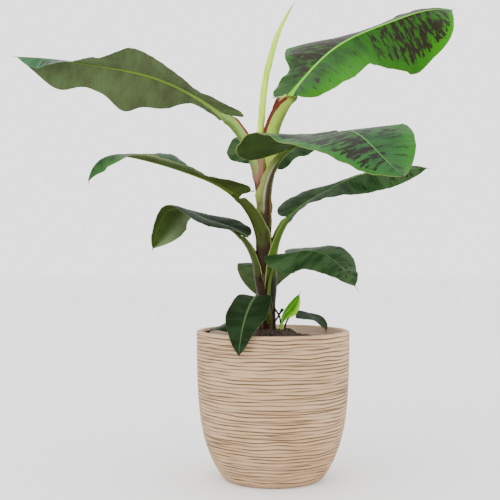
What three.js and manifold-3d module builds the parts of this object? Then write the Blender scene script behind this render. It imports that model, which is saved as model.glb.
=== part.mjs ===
// A banana plant about 1.1 m high in a round, ribbed pot.
//
// Millimetres, +Z up, +X to the right, +Y to the back.  The origin is the centre of
// the pot's flat underside.  Every leaf is one record in LEAVES.  Its centre line
// starts on the stem, and its tangent turns through the `climb` and `sway` angles;
// the first `petiole` millimetres are the stalk and the rest carries the two halves
// of the blade.
import * as THREE from 'three';
import { mergeVertices } from 'three/addons/utils/BufferGeometryUtils.js';
import Module from 'manifold-3d';

const wasm = await Module();
wasm.setup();

// ---------------------------------------------------------------- driving dimensions
const GAP = 0.35; // clearance between neighbouring solids

const POT = {
  height: 340,
  radius: 176.5, // widest, at the rim
  taper: 0.045, // share of the radius lost slowly from rim to foot
  taperPower: 1.5,
  turnIn: 0.31, // share lost in the round turn near the foot
  turnPower: 4.4,
  footRound: 14, // height of the rounded corner at the foot
  footCut: 9, // what the rounding takes off the radius there
  wall: 16,
  floor: 18,
  rimRound: 5,
  sides: 48,
  outsideRings: 10,
  insideRings: 7,
};

// The soil is level at the wall and rises over a skirt and a mound to a flat top.
const SOIL = {
  level: 316, skirtRadius: 84, skirt: 319, moundRadius: 58, mound: 331, flatRadius: 40, top: 341,
};

const STEM = {
  top: 735,
  foot: { x: -11.5, y: 0 },
  lean: -0.042, // sideways travel for each millimetre of height
  radii: [20.5, 20.5, 22, 20.5, 19, 14.5, 13.5, 17, 18], // from the foot to the crown
  sides: 16,
  steps: 16,
};

const SPEAR = {
  foot: [-28.5, 0, STEM.top + GAP],
  length: 366,
  heading: 0,
  climb: [90, 88.5, 85, 80.5, 74.5, 67, 58],
  radius: 7.8,
  tipRadius: 1,
};

const SPROUT = { foot: [-38, -8], length: 10, lean: 0, radius: 3.5, topRadius: 1 };
const PUP = { foot: [18, -10], length: 12, lean: 3, radius: 4.2, topRadius: 3.6 };

// Lengths in millimetres, angles in degrees.  A list runs from the foot (or the
// blade's base) to the tip in equal steps.  `heading` is the compass bearing from +X;
// positive `roll` turns the right-hand half down; `lift` is the slope of each half at
// the midrib and `curl` what it gains up to the margin; `edge` widens or narrows a half
// along its length; `sweep` leans the veins toward the tip.  `grip` and `neck` are the
// stalk's half-width at the stem and under the blade; `clasp` is how far, each side of
// its back, it reaches round the stem, and `twist` turns it half way up.  `stations` is
// how many steps the blade is built in.
const LEAVES = {
  upper_right: {
    foot: [-15, 0, 720], petiole: 180, blade: 530, width: 122, heading: 15,
    climb: [92, 57, 45, 25, 21, 4], sway: [0, 5, 15], roll: [20, 37, 38],
    lift: { right: [10, 5, -15, -20, 10], left: [0, -1, -26, -27, 0] },
    curl: { right: [-15, -10, -5], left: [-15, -15, -20] },
    edge: {
      right: [0.95, 1.02, 1.06, 0.84, 1.03, 1.42, 1.65, 2, 1.4],
      left: [1.15, 0.86, 0.68, 1.12, 1.54, 1.36, 1.12, 1.02, 1, 1, 1, 1, 1],
    },
    sweep: [-0.4, -0.25, -0.15, -0.2, 0.25], grip: 27, neck: 25.5, twist: -32, stations: 18,
  },
  upper_left: {
    foot: [-29, 5, 713], petiole: 140, blade: 518, width: 85, heading: 180,
    climb: [70, 43, 27, 12, 8, 2], roll: [25, 42, 45, 45],
    lift: {
      right: [0, 0, -5, -10, -10, -15, -10, -10, -20, -20, -15],
      left: [25, 8, -6, -12, -8, -7, -32, -46, -62, -92, -100],
    },
    curl: { right: [-8, -8, -10], left: [-8, -8] },
    edge: {
      right: [0.4, 0.28, 0.32, 0.8, 0.95, 1.18, 0.9, 0.93, 1.45, 1.42, 1.3],
      left: [0.85, 0.5, 0.3, 0.64, 0.8, 0.87, 0.82, 0.92, 1.08, 1.4, 1.6],
    },
    sweep: [-2.1, -0.2, 0, 0.1, 0.3], grip: 21, neck: 16, stations: 20,
  },
  back_right: {
    foot: [-20, 5, 596], petiole: 180, blade: 400, width: 98, heading: 60,
    climb: [88, 52, 32, 21, 14, 7, 0], sway: [10, 10, 6, -7],
    lift: { right: [-112, -17, 1, 6, 9, 9, 8, 6, 5, 3, 2, 1, 0], left: [6, 15, 9, 2, 10] },
    curl: { right: [-8, -3, -9], left: [-5, 0, -5] },
    edge: { right: [0.5, 0.42, 0.75, 0.94, 1, 1, 1, 1, 1, 1, 1, 1, 1], left: [1.2, 1.33, 1, 1, 1] },
    sweep: [-0.6, -0.1, 0.2], grip: 18, neck: 8, stations: 14,
  },
  front_right: {
    foot: [-25, -10, 628], petiole: 185, blade: 438, width: 118, heading: -57,
    climb: [82, 29, 0, 5, -34, -33], sway: [0, -8, 0], roll: [0, 10, 12],
    lift: { right: [-13, 13, -7, -5, -12], left: [15, 10, 0, 12, -10] },
    curl: { right: [-15, 0, -15], left: [-5, -5, -10] },
    edge: { right: [1.3, 1.22, 1.05, 1, 1, 1, 1], left: [1.25, 1.2, 1.1, 1, 1.05, 1.1, 1.1] },
    sweep: [-0.3, 0, 0.4], grip: 17, neck: 10, clasp: 80, stations: 16,
  },
  middle_left: {
    foot: [-18, -6, 560], petiole: 105, blade: 392, width: 67, heading: 188,
    climb: [66, 41, 21, 15, 0, -82], roll: [-5, -10, -15, -8, 0, 5],
    lift: { right: [75, 36, 14, 24, 22, 16, 12, 10, 8], left: [75, 44, 26, 36, 34, 28, -14, -40, -45] },
    curl: { right: [-20, -25, -5], left: [-15, -25, -25] },
    edge: {
      right: [0.45, 0.6, 0.66, 0.8, 1.45, 1.2, 1.4, 1.8, 1.8],
      left: [0.8, 0.75, 0.68, 0.8, 0.75, 0.7, 1, 1.3, 1.3],
    },
    sweep: [-1.3, -0.2, 0, 0.2, 0.3], grip: 24, neck: 13, clasp: 115, stations: 16,
  },
  lower_left: {
    foot: [-26, -3, 487], petiole: 87, blade: 287, width: 66, heading: 171,
    climb: [66, 46, 19, 24, -60, -74], sway: [0, 10, -5, -20],
    roll: [0, -8, -12, -12, 0, 24, 38, 48, 50],
    lift: { right: [30, 15, 0, 5, 5], left: [22, 15, 5, -8, -5] },
    curl: { right: [-20, -15, -5], left: [-20, -20, -20] },
    edge: { right: [1, 1, 1.25, 1.6, 1.7], left: [1, 1, 0.8, 0.38, 0.7] },
    sweep: [-0.9, -0.1, 0.3], grip: 21, neck: 10.5, clasp: 92, stations: 16,
  },
  middle_right: {
    foot: [-14, -5, 483], petiole: 127, blade: 347, width: 68, heading: -3,
    climb: [81, 59, 32, 25, 5, 3], roll: [20, 28, 33],
    lift: { right: [10, 22, -7, -13, -3], left: [17, 3, -16, -11, 2] },
    curl: { right: [-12, -12, -15], left: [-12, -15, -12] },
    edge: { right: [1, 1, 1, 1.1, 1.35], left: [1.15, 1.15, 1, 1, 1] },
    sweep: [-0.6, 0.1, 0.3], grip: 24, neck: 12, clasp: 95, stations: 14,
  },
  lower_right: {
    foot: [-18, -16, 391], petiole: 146, blade: 205, width: 69, heading: -35,
    climb: [80, 75, 24, -4, -37, -54], sway: [-20, -12, 0, 0, 0, 0, 0], roll: [10, 17, 13],
    lift: { right: [25, -28, -2, 4, -4], left: [16, -3, 3, -3, 7] },
    curl: { right: [-5, -15, -10], left: [-5, -12, -7] },
    edge: { right: [0.9, 1, 1, 1, 1], left: [1, 1] },
    sweep: [-0.9, 0.1, 0.3], grip: 12, neck: 5, clasp: 36, stations: 14,
  },
  back_low: {
    foot: [-18, 12, 397], petiole: 110, blade: 202, width: 62, heading: 92,
    climb: [80, 60, 11, -21, -41, -66],
    lift: { right: [5, -10, 0, 3, 3], left: [3, 4, 5, 0, -3] },
    curl: { right: [-13, -10, -8], left: [-10, -7, -12] },
    edge: { right: [1.1, 1.3, 1.25, 1.1, 1], left: [1, 1] },
    sweep: [-0.2, 0, 0.2], grip: 14, neck: 4.5, stations: 12,
  },
  front_low: {
    foot: [-21, -22, 387], petiole: 74, blade: 174, width: 46, heading: -109,
    climb: [73, 13, -25, -42, -61, -74],
    lift: { right: [5, 0, 5, 0], left: [7, -8, -5, 14, 0] },
    curl: { right: [0, 0], left: [0, 0] },
    edge: { right: [0.85, 0.95, 1, 0.9, 0.95], left: [0.8, 0.93, 1, 0.88, 0.92] },
    sweep: [-0.6, -0.1, 0.2], grip: 9, neck: 3.5, stations: 12,
  },
  small_left: {
    foot: [-25, 4, 368], petiole: 73, blade: 75, width: 28, heading: 186,
    climb: [58, -15, -30, -18, -20, -31], roll: [10, 20, 50],
    lift: { right: [10, 13, 10, 29, 4], left: [-20, -35, -15, -20, -5] },
    curl: { right: [8, 16, 8], left: [-18, -23, -7] },
    sweep: [-0.3, 0.1, 0.3], grip: 5, neck: 2, stations: 10,
  },
  small_right: {
    foot: [26, 6, 338], petiole: 52, blade: 88, width: 26, heading: 3,
    climb: [84, 55, -3, -12, -38, -82], roll: [17, 20, 24],
    lift: { right: [0, 0, 5, -5, 0], left: [-5, 0, -5, 10, 0] },
    curl: { right: [0, 0], left: [0, 0] },
    sweep: [-0.5, 0, 0.3], grip: 3.2, neck: 2, stations: 12,
  },
  pup: {
    foot: [19.5, -10, 352], petiole: 0, blade: 86, width: 21, heading: 20,
    climb: [88, 66, 46, 48, 56, 60], roll: [75, 75, 70],
    lift: { right: [-10, -10, -10], left: [0, 0] },
    curl: { right: [0, 0], left: [0, 0] },
    edge: { right: [0.12, 0.5, 0.95, 1, 0.85], left: [0.1, 0.2, 0.4, 0.55, 0.7] },
    sweep: [0, 0, 0.2], grip: 3.4, neck: 3.6, stations: 10,
  },
};

// Outline of a blade: a rounded shoulder, full width, then a taper to the point.
const OUTLINE = { shoulder: 0.16, taper: 0.45, point: 1.8 };
const LEAF_THICKNESS_SHARE = 0.0105; // thickness of a blade over its length
const THINNEST_LEAF = 1.8;
const COLUMNS = [0, 0.14, 0.5, 1]; // vertices of each half, from the midrib out
const PATH_STEPS = 96;
const VEIN_BOW = 1.5; // power of the veins' curve toward the tip
const STATION_CROWDING = 1.15; // a power over 1 crowds stations toward the blade's base
const RIB_TAPER = 0.7; // powers of how a midrib and a shoot thin toward the tip
const LIMB_TAPER = 4.5;
const WALL_CROWDING = 1.4; // crowds the pot's rings toward the foot, where its wall turns
const SAME_POINT = 1e-4; // vertices closer than this are one
const FLAT_CURL = 1e-4; // a half that curls by less, in radians, is straight across
const SHOOT_BEND = 1.5; // how much further a shoot leans half way up than at its tip

// Section of a stalk, as shares of its half-width: a channel with a thick keel.
const STALK = {
  steps: 9, facets: 6, clasp: 105, narrowing: 0.9, rise: 0.45, keel: 0.55, margin: 0.2,
  thinnest: 0.1, // radius of the channel's inside, at least, as a share of the outside's
};

// ---------------------------------------------------------------- small helpers
const radians = (degrees) => (degrees * Math.PI) / 180;
const clamp = (x, low, high) => Math.min(high, Math.max(low, x));

/** Smooth curve through equally spaced values, read at t from 0 to 1. */
function along(values, t) {
  const last = values.length - 1;
  const x = clamp(t, 0, 1) * last;
  const i = Math.min(Math.floor(x), last - 1);
  const f = x - i;
  const at = (k) => values[clamp(k, 0, last)];
  const [a, b, c, d] = [at(i - 1), at(i), at(i + 1), at(i + 2)];
  const square = 2 * a - 5 * b + 4 * c - d;
  const cube = 3 * b - a - 3 * c + d;
  return 0.5 * (2 * b + (c - a) * f + square * f * f + cube * f ** 3);
}

/** Closed solid from rings of equally many points; the end rings are capped. */
function skin(rings) {
  const sides = rings[0].length;
  const vertices = rings.flat().flatMap((p) => [p.x, p.y, p.z]);
  const triangles = [];
  for (let r = 0; r < rings.length - 1; r += 1) {
    for (let k = 0; k < sides; k += 1) {
      const a = r * sides + k;
      const b = r * sides + ((k + 1) % sides);
      triangles.push(a, b, b + sides, a, b + sides, a + sides);
    }
  }
  const top = (rings.length - 1) * sides;
  // The caps join opposite points in strips, so a flat, curved section stays whole.
  for (let low = 0, high = sides - 1; low < high; low += 1, high -= 1) {
    if (low + 1 < high) {
      triangles.push(low, high, low + 1);
      triangles.push(top + low, top + low + 1, top + high);
    }
    if (low + 1 < high - 1) {
      triangles.push(low + 1, high, high - 1);
      triangles.push(top + low + 1, top + high - 1, top + high);
    }
  }
  return solidFrom(vertices, triangles);
}

/** A manifold solid from plain vertex and triangle lists, faces turned out. */
function solidFrom(vertices, triangles) {
  const mesh = (indices) => new wasm.Mesh({
    numProp: 3,
    vertProperties: new Float32Array(vertices),
    triVerts: new Uint32Array(indices),
  });
  const solid = new wasm.Manifold(mesh(triangles));
  if (solid.volume() >= 0) return solid;
  const flipped = [];
  for (let i = 0; i < triangles.length; i += 3) {
    flipped.push(triangles[i], triangles[i + 2], triangles[i + 1]);
  }
  return new wasm.Manifold(mesh(flipped));
}

/** A manifold solid from a three.js geometry. */
function solidOf(geometry) {
  const bare = geometry.clone();
  bare.deleteAttribute('normal');
  bare.deleteAttribute('uv');
  const merged = mergeVertices(bare, SAME_POINT);
  return solidFrom(Array.from(merged.attributes.position.array), Array.from(merged.index.array));
}

/** The largest piece of a solid, without the scraps a cut may leave. */
function largest(solid) {
  const pieces = solid.decompose();
  return pieces.reduce((best, piece) => (piece.volume() > best.volume() ? piece : best));
}

// ---------------------------------------------------------------- leaf geometry
/** Points, tangents and level sides of a leaf's centre line. */
function centreLine(leaf) {
  const length = leaf.petiole + leaf.blade;
  const sway = leaf.sway ?? [0, 0];
  const frames = [];
  const point = new THREE.Vector3(...leaf.foot);
  for (let i = 0; i <= PATH_STEPS; i += 1) {
    const t = i / PATH_STEPS;
    const climb = radians(along(leaf.climb, t));
    const heading = radians(leaf.heading + along(sway, t));
    const tangent = new THREE.Vector3(
      Math.cos(climb) * Math.cos(heading), Math.cos(climb) * Math.sin(heading), Math.sin(climb));
    if (i > 0) {
      const mean = tangent.clone().add(frames[i - 1].tangent);
      point.addScaledVector(mean, length / PATH_STEPS / 2);
    }
    const side = new THREE.Vector3(Math.sin(heading), -Math.cos(heading), 0);
    frames.push({ point: point.clone(), tangent, side });
  }
  return frames;
}

/** The centre line's frame at a distance from the foot, turned by the blade's roll. */
function frameAt(leaf, line, distance) {
  const x = clamp((distance / (leaf.petiole + leaf.blade)) * PATH_STEPS, 0, PATH_STEPS);
  const i = Math.min(Math.floor(x), PATH_STEPS - 1);
  const mix = (key) => line[i][key].clone().lerp(line[i + 1][key], x - i);
  const point = mix('point');
  const tangent = mix('tangent').normalize();
  const flatSide = mix('side').normalize();
  const flatUp = new THREE.Vector3().crossVectors(flatSide, tangent).normalize();
  const u = clamp((distance - leaf.petiole) / leaf.blade, 0, 1);
  const onBlade = leaf.petiole > 0 ? clamp(distance / leaf.petiole, 0, 1) : 1;
  const roll = radians(along(leaf.roll ?? [0, 0], u)) * onBlade;
  const side = flatSide.clone().multiplyScalar(Math.cos(roll)).addScaledVector(flatUp, -Math.sin(roll));
  const up = flatUp.clone().multiplyScalar(Math.cos(roll)).addScaledVector(flatSide, Math.sin(roll));
  return { point, tangent, side, up };
}

/** Width of a blade's half at u, over its greatest width. */
function outline(u) {
  const { shoulder, taper, point } = OUTLINE;
  const base = u < shoulder ? Math.sqrt(Math.max(0, 1 - (1 - u / shoulder) ** 2)) : 1;
  const tip = u > taper ? 1 - ((u - taper) / (1 - taper)) ** point : 1;
  return base * tip;
}

/** Offset across a half that starts at slope `lift` and gains `curl` by the margin. */
function across(lift, curl, v) {
  if (Math.abs(curl) < FLAT_CURL) return [v * Math.cos(lift), v * Math.sin(lift)];
  const end = lift + curl * v;
  return [(Math.sin(end) - Math.sin(lift)) / curl, (Math.cos(lift) - Math.cos(end)) / curl];
}

/** One point of a blade's middle surface, with its upward normal. */
function bladePoint(leaf, frame, u, v, hand) {
  const sign = hand === 'right' ? 1 : -1;
  const shape = leaf.width * along(leaf.edge?.[hand] ?? [1, 1], u) * outline(u);
  const neck = leaf.neck * (1 - u);
  const width = Math.max(shape, neck, LEAF_THICKNESS_SHARE * leaf.blade / 2);
  const lift = radians(along(leaf.lift[hand], u));
  const curl = radians(along(leaf.curl[hand], u));
  const [out, rise] = across(lift, curl, v);
  const lean = Math.max(0, shape - neck) * along(leaf.sweep, u) * v ** VEIN_BOW;
  const point = frame.point.clone()
    .addScaledVector(frame.side, sign * width * out)
    .addScaledVector(frame.up, width * rise)
    .addScaledVector(frame.tangent, lean);
  const slope = lift + curl * v;
  const normal = frame.up.clone().multiplyScalar(Math.cos(slope))
    .addScaledVector(frame.side, -sign * Math.sin(slope));
  return { point, normal };
}

/** The blade as one closed shell, thick along its midrib. */
function bladeSolid(leaf, line) {
  const half = Math.max(THINNEST_LEAF, LEAF_THICKNESS_SHARE * leaf.blade) / 2;
  const rings = [];
  for (let i = 0; i <= leaf.stations; i += 1) {
    const u = (i / leaf.stations) ** STATION_CROWDING;
    const frame = frameAt(leaf, line, leaf.petiole + u * leaf.blade);
    const top = [];
    const bottom = [];
    const column = (v, hand) => {
      const { point, normal } = bladePoint(leaf, frame, u, v, hand);
      const rib = v === 0 ? Math.max(half, leaf.neck * (1 - u) ** RIB_TAPER) : half;
      top.push(point.clone().addScaledVector(normal, half));
      bottom.push(point.clone().addScaledVector(normal, v === 0 ? -rib : -half));
    };
    for (const v of [...COLUMNS].reverse()) column(v, 'left');
    for (const v of COLUMNS.slice(1)) column(v, 'right');
    rings.push([...top, ...bottom.reverse()]);
  }
  return skin(rings);
}

/** Half-width of a stalk at t, from its clasping foot to the neck under the blade. */
const stalkRadius = (leaf, t) => THREE.MathUtils.lerp(leaf.grip, leaf.neck, t ** STALK.narrowing);

/** A stalk along a leaf's centre line: a deep channel, open on its upper side. */
function petioleSolid(leaf, line, clearance = 0) {
  const open = radians(leaf.clasp ?? STALK.clasp);
  const rings = [];
  for (let i = 0; i <= STALK.steps; i += 1) {
    const t = i / STALK.steps;
    const frame = frameAt(leaf, line, t * (leaf.petiole - GAP));
    const turn = radians(leaf.twist ?? 0) * Math.sin(Math.PI * t);
    const radius = stalkRadius(leaf, t);
    const inside = [];
    const outside = [];
    for (let k = 0; k <= STALK.facets; k += 1) {
      const share = (2 * k) / STALK.facets - 1; // -1 at the left margin, 1 at the right
      const angle = share * (open + clearance / radius);
      const lifted = STALK.rise * t * radius;
      const thick = radius * THREE.MathUtils.lerp(STALK.keel, STALK.margin, Math.abs(share));
      const at = (r) => frame.point.clone()
        .addScaledVector(frame.side, r * Math.sin(angle + turn) + lifted * Math.sin(-turn))
        .addScaledVector(frame.up, lifted * Math.cos(turn) - r * Math.cos(angle + turn));
      inside.push(at(Math.max(radius - thick - clearance, radius * STALK.thinnest)));
      outside.push(at(radius + clearance));
    }
    rings.push([...inside, ...outside.reverse()]);
  }
  return skin(rings);
}

// ---------------------------------------------------------------- pot, soil and stem
/** Radius of the pot's outside at a height: a slow taper and a quick turn to the foot. */
function potRadius(z) {
  const down = 1 - z / POT.height;
  const low = clamp(1 - z / POT.footRound, 0, 1); // 1 at the foot, 0 above its rounding
  const slow = POT.taper * down ** POT.taperPower;
  const quick = POT.turnIn * down ** POT.turnPower;
  return POT.radius * (1 - slow - quick) - POT.footCut * (1 - Math.sqrt(1 - low ** 2));
}

const innerRadius = (z) => potRadius(z) - POT.wall;
const shoulder = POT.height - POT.rimRound; // where the rim starts to round over

/** Height of one of the rings of the pot's inside wall. */
const insideHeight = (i) => (
  POT.floor + (shoulder - POT.floor) * (i / POT.insideRings) ** WALL_CROWDING
);

/** The hollow pot: outside wall, rounded rim, inside wall and floor. */
function potGeometry() {
  const profile = [new THREE.Vector2(0, 0)];
  for (let i = 0; i <= POT.outsideRings; i += 1) {
    const z = shoulder * (i / POT.outsideRings) ** WALL_CROWDING;
    profile.push(new THREE.Vector2(potRadius(z), z));
  }
  const outer = potRadius(shoulder);
  const inner = outer - POT.wall;
  const cut = POT.rimRound * (1 - Math.SQRT1_2);
  profile.push(new THREE.Vector2(outer - cut, POT.height - cut));
  profile.push(new THREE.Vector2(outer - POT.rimRound, POT.height));
  profile.push(new THREE.Vector2(inner + POT.rimRound, POT.height));
  profile.push(new THREE.Vector2(inner + cut, POT.height - cut));
  for (let i = POT.insideRings; i >= 0; i -= 1) {
    const z = insideHeight(i);
    profile.push(new THREE.Vector2(innerRadius(z), z));
  }
  profile.push(new THREE.Vector2(0, POT.floor));
  return new THREE.LatheGeometry(profile, POT.sides).rotateX(Math.PI / 2);
}

/** The soil and root ball that fill the pot, with a low mound round the stem. */
function soilGeometry(clearance = 0) {
  const floor = POT.floor + GAP;
  const profile = [new THREE.Vector2(0, floor)];
  // The same rings as the pot's inside wall, so the two stay parallel.
  for (let i = 0; insideHeight(i) < SOIL.level; i += 1) {
    const z = insideHeight(i);
    profile.push(new THREE.Vector2(innerRadius(z) - 2 * GAP, Math.max(z, floor)));
  }
  profile.push(new THREE.Vector2(innerRadius(SOIL.level) - 2 * GAP, SOIL.level));
  profile.push(new THREE.Vector2(SOIL.skirtRadius, SOIL.skirt));
  profile.push(new THREE.Vector2(SOIL.moundRadius, SOIL.mound));
  profile.push(new THREE.Vector2(SOIL.flatRadius, SOIL.top + clearance));
  profile.push(new THREE.Vector2(0, SOIL.top + clearance));
  return new THREE.LatheGeometry(profile, POT.sides).rotateX(Math.PI / 2);
}

/** Centre of the stem at a height above the pot's underside. */
function stemCentre(z) {
  const x = STEM.foot.x + STEM.lean * (z - SOIL.top);
  return new THREE.Vector3(x, STEM.foot.y, z);
}

/** The leaning pseudostem, cut flat at the soil and at the crown. */
function stemSolid(clearance = 0) {
  const low = SOIL.top + GAP - clearance;
  const high = STEM.top + clearance;
  const rings = [];
  for (let i = 0; i <= STEM.steps; i += 1) {
    const t = i / STEM.steps;
    const centre = stemCentre(THREE.MathUtils.lerp(low, high, t));
    const radius = along(STEM.radii, t) + clearance;
    const ring = [];
    for (let k = 0; k < STEM.sides; k += 1) {
      const angle = (2 * Math.PI * k) / STEM.sides;
      const offset = new THREE.Vector3(Math.cos(angle), Math.sin(angle), 0);
      ring.push(centre.clone().addScaledVector(offset, radius));
    }
    rings.push(ring);
  }
  return skin(rings);
}

/** A round, tapering limb along a centre line that may bend. */
function limbSolid(limb, clearance = 0, sides = 12, steps = 16) {
  const path = { ...limb, petiole: 0, blade: limb.length };
  const line = centreLine(path);
  const rings = [];
  for (let i = 0; i <= steps; i += 1) {
    const t = i / steps;
    const frame = frameAt(path, line, t * limb.length);
    const radius = limb.radius + (limb.tipRadius - limb.radius) * t ** LIMB_TAPER + clearance;
    const ring = [];
    for (let k = 0; k < sides; k += 1) {
      const angle = (2 * Math.PI * k) / sides;
      ring.push(frame.point.clone()
        .addScaledVector(frame.side, radius * Math.cos(angle))
        .addScaledVector(frame.up, radius * Math.sin(angle)));
    }
    rings.push(ring);
  }
  return skin(rings);
}

// ---------------------------------------------------------------- materials
const finish = (color, roughness) => new THREE.MeshStandardMaterial({ color, roughness, metalness: 0 });
const FINISHES = {
  clay: () => finish('#c8aa8c', 0.8),
  earth: () => finish('#2a211b', 0.95),
  stem: () => finish('#4a3a28', 0.55),
  stalk: () => finish('#6f8a3f', 0.5),
  leaf: () => finish('#35562f', 0.45),
  lime: () => finish('#a9cc63', 0.5),
};

// ---------------------------------------------------------------- the assembly
const group = new THREE.Group();

/** Adds a solid as a named mesh whose own origin is at `origin`. */
function place(name, solid, material, origin = [0, 0, 0]) {
  const { vertProperties, triVerts } = solid.getMesh();
  const geometry = new THREE.BufferGeometry();
  geometry.setAttribute('position', new THREE.BufferAttribute(new Float32Array(vertProperties), 3));
  geometry.setIndex(Array.from(triVerts));
  geometry.translate(-origin[0], -origin[1], -origin[2]);
  geometry.computeVertexNormals();
  const mesh = new THREE.Mesh(geometry, material);
  mesh.name = name;
  mesh.position.set(...origin);
  group.add(mesh);
}

place('pot', solidOf(potGeometry()), FINISHES.clay());
place('soil', solidOf(soilGeometry()), FINISHES.earth());
place('pseudostem', stemSolid(), FINISHES.stem());
place('spear_leaf', limbSolid(SPEAR), FINISHES.lime(), SPEAR.foot);

/** A short shoot that stands on the soil, straight at its foot and leaning further up. */
const shoot = ({ foot, length, lean, radius, topRadius }) => ({
  foot: [...foot, SOIL.top + GAP], length, heading: 0, climb: [90, 90 - SHOOT_BEND * lean, 90 - lean],
  radius, tipRadius: topRadius,
});
place('pup_stem', limbSolid(shoot(PUP), 0, 10, 4), FINISHES.stalk(), shoot(PUP).foot);
place('sprout', limbSolid(shoot(SPROUT), 0, 8, 4), FINISHES.lime(), shoot(SPROUT).foot);

// What a stalk or a blade must clear: the stem, the spear, the soil and earlier stalks.
let inTheWay = stemSolid(GAP)
  .add(limbSolid(SPEAR, GAP))
  .add(limbSolid(shoot(PUP), GAP, 10, 4))
  .add(solidOf(soilGeometry(GAP)));
for (const [name, leaf] of Object.entries(LEAVES).filter(([, one]) => one.petiole > 0)) {
  const line = centreLine(leaf);
  const stalk = largest(petioleSolid(leaf, line).subtract(inTheWay));
  inTheWay = inTheWay.add(petioleSolid(leaf, line, GAP));
  place(`petiole_${name}`, stalk, FINISHES.stalk(), leaf.foot);
}
for (const [name, leaf] of Object.entries(LEAVES)) {
  const blade = largest(bladeSolid(leaf, centreLine(leaf)).subtract(inTheWay));
  place(`leaf_${name}`, blade, FINISHES.leaf(), leaf.foot);
}

export default group;
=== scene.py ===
"""A banana plant in a ribbed clay pot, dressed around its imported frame.

Metres, +Z up, +X to the right and +Y to the back.  The origin is the centre of the
pot's foot.  Each surface is a function of two parameters, worked out on a grid with
numpy.  A leaf grows along a centre line whose tangent turns through the `climb` and
`sway` angles: first its sheath on the stem, then its stalk, then the two halves of
its blade.
"""

import logging
import math
from dataclasses import dataclass, field
from enum import Enum
from typing import Any, Optional, Sequence

import bpy
import numpy as np
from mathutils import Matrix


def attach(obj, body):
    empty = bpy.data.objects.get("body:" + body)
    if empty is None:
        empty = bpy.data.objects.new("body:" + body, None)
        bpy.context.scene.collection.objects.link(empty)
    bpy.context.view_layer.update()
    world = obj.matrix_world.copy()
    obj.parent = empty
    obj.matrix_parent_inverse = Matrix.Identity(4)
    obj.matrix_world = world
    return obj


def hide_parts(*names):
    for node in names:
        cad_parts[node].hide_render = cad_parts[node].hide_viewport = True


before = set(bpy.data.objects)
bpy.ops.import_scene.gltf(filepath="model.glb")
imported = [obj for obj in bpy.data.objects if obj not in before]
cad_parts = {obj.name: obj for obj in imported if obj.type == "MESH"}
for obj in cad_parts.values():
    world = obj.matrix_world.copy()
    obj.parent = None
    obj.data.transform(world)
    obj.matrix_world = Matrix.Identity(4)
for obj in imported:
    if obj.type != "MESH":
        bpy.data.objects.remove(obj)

log = logging.getLogger("banana_plant")
Array = np.ndarray
Colour = tuple[float, float, float, float]
LATTICE = 64  # cells after which `lumps` repeats
FULL_TURN = 2 * np.pi


# ------------------------------------------------------------------ small helpers
def tint(code: str) -> Colour:
    """Turns a screen colour into the linear colour that a shader takes.

    Args:
        code: six hexadecimal digits, red first.

    Returns:
        Linear red, green and blue, and full alpha.
    """
    screen = [int(code[i:i + 2], 16) / 255 for i in (0, 2, 4)]
    linear = [c / 12.92 if c <= 0.04045 else ((c + 0.055) / 1.055) ** 2.4 for c in screen]
    return (linear[0], linear[1], linear[2], 1.0)


def along(values: Sequence[float], t: Array) -> Array:
    """Reads a smooth curve through equally spaced values.

    The curve is the uniform Catmull-Rom spline, with its end values repeated.

    Args:
        values: the curve's values, two or more.
        t: where to read it, from 0 to 1.

    Returns:
        The curve's value at each t.
    """
    points = np.asarray(values, float)
    last = len(points) - 1
    x = np.clip(t, 0, 1) * last
    i = np.minimum(np.floor(x).astype(int), last - 1)
    f = x - i
    a, b, c, d = (points[np.clip(i + k, 0, last)] for k in (-1, 0, 1, 2))
    square = 2 * a - 5 * b + 4 * c - d
    cube = 3 * b - a - 3 * c + d
    return 0.5 * (2 * b + (c - a) * f + square * f ** 2 + cube * f ** 3)


def smooth(low: float, high: float, x: Array) -> Array:
    """Rises from 0 at low to 1 at high along 3t^2 - 2t^3."""
    t = np.clip((x - low) / (high - low), 0, 1)
    return t * t * (3 - 2 * t)


def mix(a: Array, b: Array, share: Array) -> Array:
    """Goes from a to b as share goes from 0 to 1."""
    return a + (b - a) * share


def bell(x: Array, middle: Any, width: Any) -> Array:
    """exp(-((x - middle) / width)^2)."""
    return np.exp(-((x - middle) / width) ** 2)


def fading(term: tuple[float, float], u: Array) -> Array:
    """share exp(-u / fade), for a term (share, fade)."""
    share, fade = term
    return share * np.exp(-u / fade)


def unit(vectors: Array) -> Array:
    """Scales vectors along the last axis to length 1."""
    return vectors / np.linalg.norm(vectors, axis=-1, keepdims=True)


def wander(x: Array, seed: int, waves: int = 6) -> Array:
    """Smooth seeded noise of one variable, about -1 to 1, that varies over a unit of x.

    It is a sum of sine waves: wave k has a random phase, a frequency of about
    0.35 + 0.3 k turns a unit and an amplitude that falls as the frequency rises.

    Args:
        x: where to read it.
        seed: picks the noise.
        waves: how many sine waves.

    Returns:
        The noise at each x.
    """
    draw = np.random.default_rng(seed)
    total = np.zeros_like(x, dtype=float)
    for k in range(waves):
        turns = 0.35 + 0.3 * k + 0.2 * draw.random()
        total += np.sin(FULL_TURN * (turns * x + draw.random())) / (1 + 0.7 * k)
    return total / 1.8


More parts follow.
